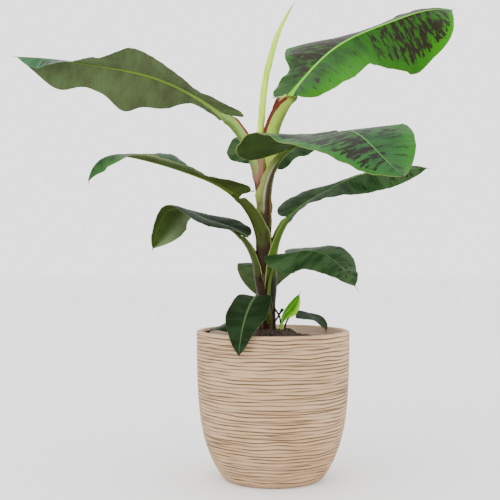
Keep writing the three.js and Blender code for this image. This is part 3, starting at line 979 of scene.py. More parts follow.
@dataclass(frozen=True)
class Leaf:
    """A leaf's sizes in metres and angles in degrees.

    `heading` is the bearing from +X; positive `roll` turns the right-hand half down;
    `sweep` leans the veins to the tip; `grip` is the stalk's half-width at its foot
    and `neck` the one under the blade; `clasp` is how far, each side of its back, it
    reaches round the stem, and `mouth` the same under the blade; `twist` turns it half
    way up, and `sheath` is how far it runs down the stem.  `midrib` widens the midrib,
    and `tag` is the half whose base lobe ends in a dried tag: 1 right, -1 left.
    `wing` is how far the stalk's right margin bulges near the foot, as a share of the
    half-width.
    """

    name: str
    foot: tuple[float, float, float]
    petiole: float
    blade: float
    width: float
    heading: float
    climb: tuple[float, ...]
    right: Half
    left: Half
    sweep: tuple[float, ...]
    grip: float
    neck: float
    kind: LeafKind
    stalk: StalkKind = StalkKind.OLIVE
    sway: tuple[float, ...] = (0, 0)
    roll: tuple[float, ...] = (0, 0)
    clasp: float = 105.0
    mouth: float = 78.0
    twist: float = 0.0
    sheath: float = 0.0
    thread: float = 0.014
    thread_drop: float = 60.0
    ripple: float = 1.0
    midrib: float = 1.0
    tag: int = 0
    wing: float = 0.0

    def line(self) -> "CentreLine":
        """The leaf's centre line, through stalk and blade."""
        return CentreLine(self.foot, self.petiole + self.blade, self.heading, self.climb, self.sway,
                          self.roll, self.petiole)


@dataclass
class Spots:
    """Frames at points of a centre line: each field is an array of vectors."""

    point: Array
    tangent: Array
    side: Array
    up: Array


@dataclass
class CentreLine:
    """A leaf's centre line, from its foot through the stalk to the blade's tip.

    The tangent is (cos c cos h, cos c sin h, sin c), where c is the climb and h the
    heading plus the sway; the point is the foot plus the sum of the mean tangents.
    The roll runs over the blade, and fades in over the `stalk` part below it.
    """

    foot: tuple[float, float, float]
    length: float
    heading: float
    climb: tuple[float, ...]
    sway: tuple[float, ...] = (0, 0)
    roll: tuple[float, ...] = (0, 0)
    stalk: float = 0.0
    steps: int = 384

    def __post_init__(self) -> None:
        """Works out the line's points."""
        t = np.linspace(0, 1, self.steps + 1)
        climb = np.radians(along(self.climb, t))
        heading = np.radians(self.heading + along(self.sway, t))
        flat = np.cos(climb)
        self.tangents = np.stack([flat * np.cos(heading), flat * np.sin(heading), np.sin(climb)], -1)
        mean = (self.tangents[1:] + self.tangents[:-1]) * self.length / self.steps / 2
        self.points = np.array(self.foot) + np.concatenate([np.zeros((1, 3)), np.cumsum(mean, 0)])
        self.sides = np.stack([np.sin(heading), -np.cos(heading), 0 * heading], -1)

    def at(self, distance: Array) -> Spots:
        """Frames at distances from the foot, turned by the blade's roll.

        Args:
            distance: one-dimensional array of metres.

        Returns:
            The frames, with a middle axis for the columns of a grid.
        """
        x = np.clip(distance / self.length, 0, 1) * self.steps
        i = np.minimum(np.floor(x).astype(int), self.steps - 1)
        f = (x - i)[:, None]
        point, tangent, flat = (mix(a[i], a[i + 1], f) for a in (self.points, self.tangents, self.sides))
        tangent, flat = unit(tangent), unit(flat)
        high = unit(np.cross(flat, tangent))
        on_blade = np.clip(distance / self.stalk, 0, 1) if self.stalk > 0 else 1.0
        share = (distance - self.stalk) / (self.length - self.stalk)
        roll = np.radians(along(self.roll, share)) * on_blade
        cos, sin = np.cos(roll)[:, None], np.sin(roll)[:, None]
        side, up = flat * cos - high * sin, high * cos + flat * sin
        return Spots(*(a[:, None, :] for a in (point, tangent, side, up)))


@dataclass(frozen=True)
class Blade:
    """Builds the blade of a leaf: two thin halves on a midrib, and a dried thread.

    The midrib's half-width and depth are shares of the stalk's half-width: a steady one
    that thins to the tip, and terms (share, fade) that die away as exp(-u / fade).
    Waves are (height, length, order), where the order offsets their seed.
    """

    leaf: Leaf
    shoulder: float = 0.16
    taper: float = 0.45
    taper_power: float = 1.8
    vein_bow: float = 1.5
    rib: float = 0.27
    rib_power: float = 0.6
    flare: tuple[float, float] = (0.35, 0.03)
    spread: tuple[float, float] = (0.25, 0.12)
    keel: float = 0.36
    keel_power: float = 0.8
    keel_flare: tuple[float, float] = (0.3, 0.05)
    groove: tuple[float, float] = (0.13, 0.09)
    groove_rest: float = 0.035
    waves: tuple[tuple[float, float, int], ...] = ((0.0011, 0.034, 1), (0.0006, 0.014, 9))
    frill: tuple[float, float, int] = (0.0022, 0.05, 5)
    wave_width: float = 0.09
    thickness: float = 0.0011
    tip_width: float = 0.0009
    thread_radii: tuple[float, float] = (0.0009, 0.0003)
    thread_root: float = 0.004
    tag_radii: tuple[float, ...] = (0.0012, 0.0011, 0.0016)
    tag_reach: tuple[float, ...] = (-0.002, 0.004, 0.009)
    tag_rise: float = 0.002
    row_length: float = 0.0022
    crowding: float = 1.3
    rib_columns: int = 6
    web_columns: int = 22
    seed: int = 7

    def outline(self, u: Array) -> Array:
        """Outline of the blade before each half's own widening.

        A quarter circle up to `shoulder`, full width, then 1 - t^taper_power from
        `taper` to the tip.

        Args:
            u: shares of the blade's length.

        Returns:
            The share of the full width at each u.
        """
        base = np.sqrt(np.clip(1 - (1 - np.clip(u / self.shoulder, 0, 1)) ** 2, 0, 1))
        tip = 1 - np.clip((u - self.taper) / (1 - self.taper), 0, 1) ** self.taper_power
        return base * tip

    def half(self, half: Half, sign: int, u: Array, spots: Spots) -> tuple[Array, Array, dict[str, Array]]:
        """One half of the blade, from the midrib out.

        At a share v of the width, the half has turned from its lift by curl v, so its
        section is an arc; the veins lean by sweep v^vein_bow toward the tip.  Waves
        that follow the veins, and grow toward the margin, are added along the normal.
        The midrib is a rounded keel below and a shallow groove above.

        Args:
            half: the half's own values.
            sign: 1 for the right-hand half and -1 for the left.
            u: column of shares of the blade's length.
            spots: the centre line's frames at u.

        Returns:
            Points of the upper and lower faces, and the values there.
        """
        leaf = self.leaf
        shape = leaf.width * along(half.edge, u) * self.outline(u)
        neck = leaf.neck * (1 - u)
        width = np.maximum(np.maximum(shape, neck), self.tip_width)
        rib = leaf.neck * (self.rib * leaf.midrib * (1 - u) ** self.rib_power + fading(self.flare, u)
                           + min(1.0, leaf.midrib ** 2) * fading(self.spread, u))
        rib = np.minimum(rib, 0.75 * width)
        across = np.sin(np.linspace(0, np.pi / 2, self.rib_columns))[None, :]
        web = np.linspace(0, 1, self.web_columns + 1)[None, 1:]
        q = np.concatenate([across + 0 * u, np.ones_like(web) + 0 * u], 1)
        v = np.concatenate([across * rib, rib + web * (width - rib)], 1) / width
        lift = np.radians(along(half.lift, u)) + 0 * v
        curl = np.radians(along(half.curl, u)) + 0 * v
        curl = np.where(np.abs(curl) < 1e-4, 1e-4, curl)
        end = lift + curl * v
        out = (np.sin(end) - np.sin(lift)) / curl
        rise = (np.cos(lift) - np.cos(end)) / curl
        reach = np.maximum(0, shape - neck)
        lean = reach * along(leaf.sweep, u) * v ** self.vein_bow
        middle = (spots.point + spots.side * (sign * width * out)[..., None]
                  + spots.up * (width * rise)[..., None] + spots.tangent * lean[..., None])
        normal = spots.up * np.cos(end)[..., None] - spots.side * (sign * np.sin(end))[..., None]
        firm = smooth(0.55, 1.0, q)[..., None]
        normal = unit(mix(spots.up + 0 * normal, normal, firm))
        base = u * leaf.blade
        waves = sum(height * wander(base / length, self.seed + order * sign)
                    for height, length, order in self.waves)
        height, length, order = self.frill
        frill = height * wander(base / length, self.seed + order * sign) * v ** 4
        fade = smooth(0, 0.08, u) * smooth(0, 0.2, 1 - u)
        ease = (v ** 1.2) * (q >= 1)
        middle = middle + normal * ((waves * ease + frill) * leaf.ripple * fade
                                    * (leaf.width / self.wave_width) ** 0.5)[..., None]
        keel = leaf.neck * (self.keel * (1 - u) ** self.keel_power + fading(self.keel_flare, u))
        round_off = np.sqrt(np.clip(1 - q ** 2, 0, 1))
        groove = leaf.neck * (fading(self.groove, u) - self.groove_rest) * (1 - q ** 2)
        half_thick = self.thickness / 2
        top = middle + normal * (half_thick - groove)[..., None]
        bottom = middle - normal * (half_thick + keel * round_off)[..., None]
        values = {
            "lamina": np.stack([base + 0 * v, sign * v * width, sign + 0 * v], -1),
            "share": np.where(q < 1, 0, v),
            "rib": 1 - smooth(0.8, 1.0, q),
            "root": np.exp(-u / 0.16) + 0 * v,
            "blotched": along(half.blotched, u) * smooth(0.0, 0.25, 1 - v) + 0 * v,
            # Painted light: how far light shining through the blade is painted on, growing toward the margin.
            "glow": np.clip(along(half.glow, u) * smooth(0.3, 1.0, v), 0, 1),
            "dried": smooth(0.985, 1.0, u) + 0 * v,
        }
        return top, bottom, values

    def thread(self, spots: Spots) -> Shell:
        """The dried thread at the tip: a thin tapering tube that bends down.

        Args:
            spots: the frame at the tip.

        Returns:
            The closed shell.
        """
        leaf = self.leaf
        t = np.linspace(0, 1, 14)[:, None]
        turn = math.radians(leaf.thread_drop) * t ** 1.3
        heading = spots.tangent[0] * np.cos(turn) - spots.up[0] * np.sin(turn)
        root = spots.point[0] - spots.tangent[0] * self.thread_root
        path = root + np.cumsum(heading, 0) * leaf.thread / (len(t) - 1)
        angle = bearings(8)[..., None]
        radius = mix(*self.thread_radii, t)[:, :, None]
        normal = np.cross(spots.side[0], heading)[:, None, :]
        rings = path[:, None, :] + radius * (spots.side[0] * np.cos(angle) + normal * np.sin(angle))
        return tube(rings, {"dried": np.ones(rings.shape[:2])})

    def dried_tag(self, margin: Array, spots: Spots) -> Shell:
        """The dried tag of a base lobe, at the margin's point that lies furthest back.

        Args:
            margin: the points of the half's margin.
            spots: the centre line's frames beside them.

        Returns:
            The closed shell.
        """
        ahead = spots.tangent[0, 0]
        row = int(np.argmin((margin - spots.point[0, 0]) @ ahead))
        away = unit(unit(margin[row] - spots.point[row, 0]) - 0.6 * spots.tangent[row, 0])
        knots = [margin[row] + reach * away for reach in self.tag_reach]
        knots[-1] = knots[-1] + (0, 0, self.tag_rise)
        return twig(knots, self.tag_radii, {"dried": 1.0})

    def build(self) -> Shell:
        """Makes the whole blade.

        Returns:
            The closed shells of both halves, the thread and the tag, joined.
        """
        leaf = self.leaf
        rows = max(48, int(leaf.blade / self.row_length))
        u = (np.linspace(0, 1, rows) ** self.crowding)[:, None]
        line = leaf.line()
        spots = line.at(leaf.petiole + u[:, 0] * leaf.blade)
        right = self.half(leaf.right, 1, u, spots)
        left = self.half(leaf.left, -1, u, spots)
        top, bottom = (np.concatenate([left[i][:, :0:-1], right[i]], 1) for i in (0, 1))
        values = {k: np.concatenate([left[2][k][:, :0:-1], right[2][k]], 1) for k in right[2]}
        end = line.at(np.array([line.length]))
        shells = [sheet(top, bottom, values), self.thread(end)]
        if leaf.tag:
            shells.append(self.dried_tag((right if leaf.tag > 0 else left)[0][:, -1], spots))
        return join(shells)


@dataclass(frozen=True)
class Stalk:
    """Builds a leaf's stalk: a deep channel, with its sheath on the stem below.

    Along the stalk the half-width goes from `grip` to `neck`.  A section is an arc
    that opens upward, `clasp` degrees each side of the back at the foot and `mouth`
    at the blade; its wall is `keel` of the half-width at the back and `margin` at the
    edges.  It ends in a tongue, `overlap` long, that thins to `tongue` of its
    half-width inside the blade's midrib.
    """

    leaf: Leaf
    stem: Stem = STEM
    sheath_opening: float = 1.25
    narrowing: float = 0.9
    rise: float = 0.45
    end_rise: float = 0.31
    closing: float = 0.89
    keel: float = 0.55
    margin: float = 0.2
    columns: int = 45
    row_length: float = 0.0025
    overlap: float = 0.018
    tongue: float = 0.55
    tongue_opening: float = 0.7
    clearance: float = 0.0016
    ragged: float = 2.5
    flute: float = 0.0002
    wing_place: float = 0.14
    wing_length: float = 0.1
    seed: int = 3

    def build(self) -> Shell:
        """Makes the stalk, with its sheath and tongue.

        A point of a section, at an angle a from the back and a radius r, lies at
        r sin a to the side and lift - r cos a above the centre line.  Along the sheath
        the centre line gives way to the stem's axis and the radius to the stem's.

        Returns:
            The closed shell.
        """
        leaf = self.leaf
        length = leaf.sheath + leaf.petiole + self.overlap
        rows = max(24, int(length / self.row_length))
        s = np.linspace(-leaf.sheath, leaf.petiole + self.overlap, rows)
        t = np.clip(s / leaf.petiole, 0, 1)[:, None]
        down = (np.clip(-s / leaf.sheath, 0, 1) if leaf.sheath > 0 else 0 * s)[:, None]
        sunk = smooth(0, 1, down)
        spots = leaf.line().at(np.maximum(s, 0))
        z = leaf.foot[2] + np.minimum(s, 0)
        foot = np.array(leaf.foot)
        shift = foot - self.stem.centre(foot[2:])[0]
        on_stem = self.stem.centre(z) + shift * (1 - sunk)
        axis = unit(np.array([self.stem.lean, 0, 1]))
        low = (s < 0)[:, None]
        point = np.where(low, on_stem, spots.point[:, 0])
        tangent = unit(mix(spots.tangent[:, 0], axis, sunk))
        side = spots.side[:, 0]
        up = unit(np.cross(side, tangent))
        turn = np.radians(leaf.twist) * np.sin(np.pi * t)
        side, up = side * np.cos(turn) - up * np.sin(turn), up * np.cos(turn) + side * np.sin(turn)
        radius = mix(leaf.grip, leaf.neck, t ** self.narrowing)
        buried = self.stem.radius(z)[:, None] - self.clearance
        beyond = np.clip((s - leaf.petiole) / self.overlap, 0, 1)[:, None]
        radius = mix(radius, buried, sunk) * mix(1, self.tongue, beyond)
        share = np.linspace(-1, 1, self.columns)[None, :]
        near_end = smooth(self.closing, 1.0, t)
        opening = mix(leaf.clasp, leaf.mouth, near_end)
        opening = opening * mix(1, self.sheath_opening, sunk) * mix(1, self.tongue_opening, beyond)
        ragged = self.ragged * wander(s[:, None] / 0.03, self.seed) * (1 - near_end)
        angle = share * np.radians(opening + ragged)
        lift = mix(self.rise, self.end_rise, near_end) * t * radius
        wall = radius * mix(self.keel, self.margin, np.abs(share)) * mix(1, 0.25, sunk)
        bulge = leaf.wing * smooth(0.35, 1.0, share) * bell(t, self.wing_place, self.wing_length)
        flutes = self.flute * np.cos(angle * 9) * (1 - np.abs(share)) + radius * bulge
        thin = np.sqrt(np.clip(1 - np.abs(share) ** 12, 0, 1))
        outer_radius = radius + flutes
        inner_radius = np.maximum(radius * (1 + bulge) - wall * thin, radius * 0.1)

        def at(r: Array) -> Array:
            """Points of a section at radius r from the channel's axis."""
            flat = side[:, None] * (r * np.sin(angle))[..., None]
            return point[:, None] + flat + up[:, None] * (lift - r * np.cos(angle))[..., None]

        values = {
            "run": np.stack([s[:, None] + 0 * angle, angle * radius, 0 * angle], -1),
            "cross": share + 0 * angle,
            "foot": mix(0.35 * (1 - smooth(0, 0.3, t)), 1.0, smooth(0, 0.7, down)) + 0 * angle,
            # Mask for the darker head: painted shade under the blade, with the stalk's own tone there.
            "head_tint_and_shade": smooth(0.4, 0.8, t) + 0 * angle,
            "lip": smooth(0.87, 0.97, t) + 0 * angle,
        }
        return sheet(at(inner_radius), at(outer_radius), values)


LEAVES = (
    Leaf("upper_right", (-0.0150, 0.0, 0.720), 0.180, 0.530, 0.122, 15,
         climb=(92, 57, 45, 25, 21, 4), sway=(0, 5, 15), roll=(20, 37, 38),
         right=Half((10, 5, -15, -20, 10), (-15, -10, -5),
                    (0.95, 1.02, 1.06, 0.84, 1.03, 1.42, 1.65, 2.0, 1.4),
                    blotched=(0.3, 0.42, 0.36, 0.3, 0.62, 0.74, 0.8, 0.74, 0.4),
                    glow=(0.5, 0.8, 0.6, 0.2, 0.3, 0.9, 0.8)),
         left=Half((0, -1, -26, -27, 0), (-15, -15, -20),
                   (1.15, 0.86, 0.68, 1.12, 1.54, 1.36, 1.12, 1.02, 1, 1, 1, 1, 1),
                   blotched=(0.1, 0.8, 0.9, 0.9, 0.9, 0.9, 0.9)),
         sweep=(-0.4, -0.25, -0.15, -0.2, 0.25), grip=0.027, neck=0.0255, kind=LeafKind.NEWEST,
         stalk=StalkKind.RED_EDGED, sheath=0.05, mouth=72, twist=-32, thread=0.014,
         thread_drop=-60, midrib=0.66, tag=-1),
    Leaf("upper_left", (-0.029, 0.005, 0.713), 0.140, 0.518, 0.085, 180,
         climb=(70, 43, 27, 12, 8, 2), roll=(25, 42, 45, 45),
         right=Half((0, 0, -5, -10, -10, -15, -10, -10, -20, -20, -15), (-8, -8, -10),
                    (0.4, 0.28, 0.32, 0.8, 0.95, 1.18, 0.9, 0.93, 1.45, 1.42, 1.3),
                    blotched=(0.3, 0.3)),
         left=Half((25, 8, -6, -12, -8, -7, -32, -46, -62, -92, -100), (-8, -8),
                   (0.85, 0.5, 0.3, 0.64, 0.8, 0.87, 0.82, 0.92, 1.08, 1.4, 1.6),
                   blotched=(0.3, 0.2, 0.2, 0.8, 0.1)),
         sweep=(-2.1, -0.2, 0, 0.1, 0.3), grip=0.021, neck=0.016, kind=LeafKind.BACKLIT,
         stalk=StalkKind.ROSY, sheath=0.05, mouth=88, thread=0.016, thread_drop=-25,
         midrib=0.9),
    Leaf("back_right", (-0.020, 0.005, 0.596), 0.180, 0.400, 0.098, 60,
         climb=(88, 52, 32, 21, 14, 7, 0), sway=(10, 10, 6, -7),
         right=Half((-112, -17, 1, 6, 9, 9, 8, 6, 5, 3, 2, 1, 0), (-8, -3, -9),
                    (0.5, 0.42, 0.75, 0.94, 1, 1, 1, 1, 1, 1, 1, 1, 1), blotched=(0.2, 0.4)),
         left=Half((6, 15, 9, 2, 10), (-5, 0, -5), (1.2, 1.33, 1, 1, 1), blotched=(0.2, 0.4)),
         sweep=(-0.6, -0.1, 0.2), grip=0.018, neck=0.008, kind=LeafKind.OLD,
         stalk=StalkKind.GREEN, sheath=0.06),
    Leaf("front_right", (-0.025, -0.010, 0.628), 0.185, 0.438, 0.118, -57,
         climb=(82, 29, 0, 5, -34, -33), sway=(0, -8, 0), roll=(0, 10, 12),
         right=Half((-13, 13, -7, -5, -12), (-15, 0, -15), (1.3, 1.22, 1.05, 1, 1, 1, 1),
                    blotched=(0.2, 0.55, 0.75, 0.8, 0.8, 0.7, 0.4), glow=(0, 0.1, 0.3, 0.4, 0.2)),
         left=Half((15, 10, 0, 12, -10), (-5, -5, -10), (1.25, 1.2, 1.1, 1, 1.05, 1.1, 1.1),
                   blotched=(0.2, 0.75, 0.7, 0.5, 0.3), glow=(0, 0, 0.1, 0.5, 0.6)),
         sweep=(-0.3, 0, 0.4), grip=0.017, neck=0.010, kind=LeafKind.YOUNG,
         stalk=StalkKind.HIGHLIT, sheath=0.09, clasp=80, thread=0.018, thread_drop=40,
         wing=0.55),
    Leaf("middle_left", (-0.018, -0.006, 0.560), 0.105, 0.392, 0.067, 188,
         climb=(66, 41, 21, 15, 0, -82), roll=(-5, -10, -15, -8, 0, 5),
         right=Half((75, 36, 14, 24, 22, 16, 12, 10, 8), (-20, -25, -5),
                    (0.45, 0.6, 0.66, 0.8, 1.45, 1.2, 1.4, 1.8, 1.8), glow=(0, 0.2)),
         left=Half((75, 44, 26, 36, 34, 28, -14, -40, -45), (-15, -25, -25),
                   (0.8, 0.75, 0.68, 0.8, 0.75, 0.7, 1, 1.3, 1.3), glow=(0, 0, 0.3, 1, 1, 0.8, 0)),
         sweep=(-1.3, -0.2, 0, 0.2, 0.3), grip=0.024, neck=0.013, kind=LeafKind.SHADED,
         stalk=StalkKind.OLIVE, sheath=0.12, clasp=115, tag=-1),
    Leaf("lower_left", (-0.026, -0.003, 0.487), 0.087, 0.287, 0.066, 171,
         climb=(66, 46, 19, 24, -60, -74), sway=(0, 10, -5, -20), roll=(0, -8, -12, -12, 0, 24, 38, 48, 50),
         right=Half((30, 15, 0, 5, 5), (-20, -15, -5), (1, 1, 1.25, 1.6, 1.7), glow=(0, 0, 1, 1.6, 1.6)),
         left=Half((22, 15, 5, -8, -5), (-20, -20, -20), (1, 1, 0.8, 0.38, 0.7)),
         sweep=(-0.9, -0.1, 0.3), grip=0.021, neck=0.0105, kind=LeafKind.DARK,
         stalk=StalkKind.OLIVE, sheath=0.08, clasp=92, midrib=0.7),
    Leaf("middle_right", (-0.014, -0.005, 0.483), 0.127, 0.347, 0.068, -3,
         climb=(81, 59, 32, 25, 5, 3), roll=(20, 28, 33),
         right=Half((10, 22, -7, -13, -3), (-12, -12, -15), (1, 1, 1, 1.1, 1.35),
                    blotched=(0.2, 0.5), glow=(0, 0.1, 0.3)),
         left=Half((17, 3, -16, -11, 2), (-12, -15, -12), (1.15, 1.15, 1, 1, 1), blotched=(0.3, 0.5)),
         sweep=(-0.6, 0.1, 0.3), grip=0.024, neck=0.012, kind=LeafKind.OLD,
         stalk=StalkKind.GREEN, sheath=0.10, clasp=95, mouth=85),
    Leaf("lower_right", (-0.0180, -0.016, 0.391), 0.146, 0.205, 0.069, -35,
         climb=(80, 75, 24, -4, -37, -54), sway=(-20, -12, 0, 0, 0, 0, 0), roll=(10, 17, 13),
         right=Half((25, -28, -2, 4, -4), (-5, -15, -10), (0.9, 1, 1, 1, 1), blotched=(0.2, 0.5)),
         left=Half((16, -3, 3, -3, 7), (-5, -12, -7), blotched=(0.3, 0.5)),
         sweep=(-0.9, 0.1, 0.3), grip=0.012, neck=0.005, kind=LeafKind.OLD,
         stalk=StalkKind.BRIGHT, sheath=0.05, clasp=36, thread=0.02, thread_drop=-10),
    Leaf("back_low", (-0.018, 0.012, 0.397), 0.110, 0.202, 0.062, 92,
         climb=(80, 60, 11, -21, -41, -66),
         right=Half((5, -10, 0, 3, 3), (-13, -10, -8), (1.1, 1.3, 1.25, 1.1, 1)),
         left=Half((3, 4, 5, 0, -3), (-10, -7, -12)),
         sweep=(-0.2, 0, 0.2), grip=0.014, neck=0.0045, kind=LeafKind.OLD,
         stalk=StalkKind.DARK, sheath=0.04),
    Leaf("front_low", (-0.021, -0.022, 0.387), 0.074, 0.174, 0.046, -109,
         climb=(73, 13, -25, -42, -61, -74),
         right=Half((5, 0, 5, 0), edge=(0.85, 0.95, 1.0, 0.9, 0.95)),
         left=Half((7, -8, -5, 14, 0), edge=(0.8, 0.93, 1.0, 0.88, 0.92)),
         sweep=(-0.6, -0.1, 0.2), grip=0.009, neck=0.0035, kind=LeafKind.DARK,
         stalk=StalkKind.DARK, sheath=0.03, ripple=0.5, thread=0.007, midrib=3.4),
    Leaf("small_left", (-0.025, 0.004, 0.368), 0.073, 0.075, 0.028, 186,
         climb=(58, -15, -30, -18, -20, -31), roll=(10, 20, 50),
         right=Half((10, 13, 10, 29, 4), (8, 16, 8)),
         left=Half((-20, -35, -15, -20, -5), (-18, -23, -7)),
         sweep=(-0.3, 0.1, 0.3), grip=0.005, neck=0.002, kind=LeafKind.DARK,
         stalk=StalkKind.DARK, thread=0.008),
    Leaf("small_right", (0.026, 0.006, 0.338), 0.052, 0.088, 0.026, 3,
         climb=(84, 55, -3, -12, -38, -82), roll=(17, 20, 24),
         right=Half((0, 0, 5, -5, 0)), left=Half((-5, 0, -5, 10, 0)),
         sweep=(-0.5, 0, 0.3), grip=0.0032, neck=0.002, kind=LeafKind.DARK,
         stalk=StalkKind.DARK, thread=0.008),
    Leaf("pup", (0.0195, -0.010, 0.352), 0.0, 0.086, 0.021, 20,
         climb=(88, 66, 46, 48, 56, 60), roll=(75, 75, 70),
         right=Half((-10, -10, -10), (0, 0), (0.12, 0.5, 0.95, 1, 0.85), glow=(0, 1, 1.6, 1.2)),
         left=Half((0, 0), (0, 0), (0.1, 0.2, 0.4, 0.55, 0.7)),
         sweep=(0, 0, 0.2), grip=0.0034, neck=0.0036, kind=LeafKind.PUP, ripple=0.4,
         thread=0.012, thread_drop=-10),
)


@dataclass
class Foliage:
    """All the leaves, with one material for each kind."""

    leaves: tuple[Leaf, ...] = LEAVES
    blade_seed: int = 11
    seed_step: int = 20
    stalk_seed: int = 31

    def build(self) -> None:
        """Makes and dresses each blade and each stalk."""
        blades = {kind: kind.value.material() for kind in LeafKind}
        stalks = {kind: kind.value.material() for kind in StalkKind}
        for number, leaf in enumerate(self.leaves):
            shell = Blade(leaf, seed=self.blade_seed + self.seed_step * number).build()
            place(f"blade_{leaf.name}", shell, blades[leaf.kind], "leaf", f"leaf_{leaf.name}")
            if leaf.petiole > 0:
                shell = Stalk(leaf, seed=self.stalk_seed + number).build()
                place(f"stalk_{leaf.name}", shell, stalks[leaf.stalk], "stalk", f"petiole_{leaf.name}")


# ------------------------------------------------------------------ young shoots
@dataclass(frozen=True)
class Shoot:
    """A rolled young leaf or a bare shoot: a tapering tube along a bending line."""

    name: str
    node: str
    slot: str
    foot: tuple[float, float, float]
    length: float
    climb: tuple[float, ...]
    radius: float
    tip_radius: float
    finish: ShootFinish
    heading: float = 0.0
    taper: float = 1.6
    turns: float = 0.0
    roll_step: float = 0.0
    rows: int = 60
    sides: int = 24
    thread: float = 0.0
    thread_radii: tuple[float, float] = (0.0007, 0.0002)
    thread_bend: float = 0.15

    def build(self) -> None:
        """Makes the shoot and dresses it.

        The radius goes from `radius` to `tip_radius` along t^taper; where it is rolled,
        it also grows round the axis and drops at an edge that winds `turns` times.
        """
        t = np.linspace(0, 1, self.rows)
        spots = CentreLine(self.foot, self.length, self.heading, self.climb).at(t * self.length)
        angle = bearings(self.sides)
        turn = (angle / FULL_TURN - self.turns * t[:, None]) % 1
        radius = mix(self.radius, self.tip_radius, t[:, None] ** self.taper)
        radius = radius * (1 + self.roll_step * (turn - 0.5) * smooth(0, 0.08, turn))
        around = spots.side * np.cos(angle)[..., None] + spots.up * np.sin(angle)[..., None]
        values = {
            "wind": np.stack([turn, t[:, None] * self.length + 0 * turn, 0 * turn], -1),
            "dried": smooth(0.93, 1.0, t)[:, None] + 0 * turn,
        }
        shells = [tube(spots.point + around * radius[..., None], values)]
        if self.thread:
            reach = np.linspace(0, 1, 12)[:, None, None]
            bend = spots.side[-1] * self.thread_bend * np.sin(4 * reach) * self.thread
            path = spots.point[-1] + spots.tangent[-1] * reach * self.thread + bend
            rings = path + around[-1] * mix(*self.thread_radii, reach)
            shells.append(tube(rings, {"dried": np.ones(rings.shape[:2])}))
        place(self.name, join(shells), self.finish.material(), self.slot, self.node)


SHOOTS = (
    Shoot("rolled_spear", "spear_leaf", "young_leaf", (-0.0285, 0.0, 0.73535), 0.366,
          (90, 88.5, 85, 80.5, 74.5, 67, 58), 0.0078, 0.001,
          ShootFinish("spear_lime", lime="c2e83a", line="96c620", tip="6f6a50"),
          turns=3.0, roll_step=0.18, taper=5.0, rows=220, sides=32, thread=0.016),
    Shoot("pup_shoot", "pup_stem", "young_leaf", (0.018, -0.010, 0.34135), 0.012,
          (90, 87, 87), 0.0042, 0.0036,
          ShootFinish("pup_green", lime="84b830", line="6a9c26", tip="84b830"),
          turns=0.3, roll_step=0.12),
    Shoot("soil_sprout", "sprout", "young_leaf", (-0.038, -0.008, 0.34135), 0.010,
          (90, 90, 90), 0.0035, 0.001,
          ShootFinish("sprout_yellow", lime="b0b040", line="8fa030", tip="c0b850"), rows=20),
)


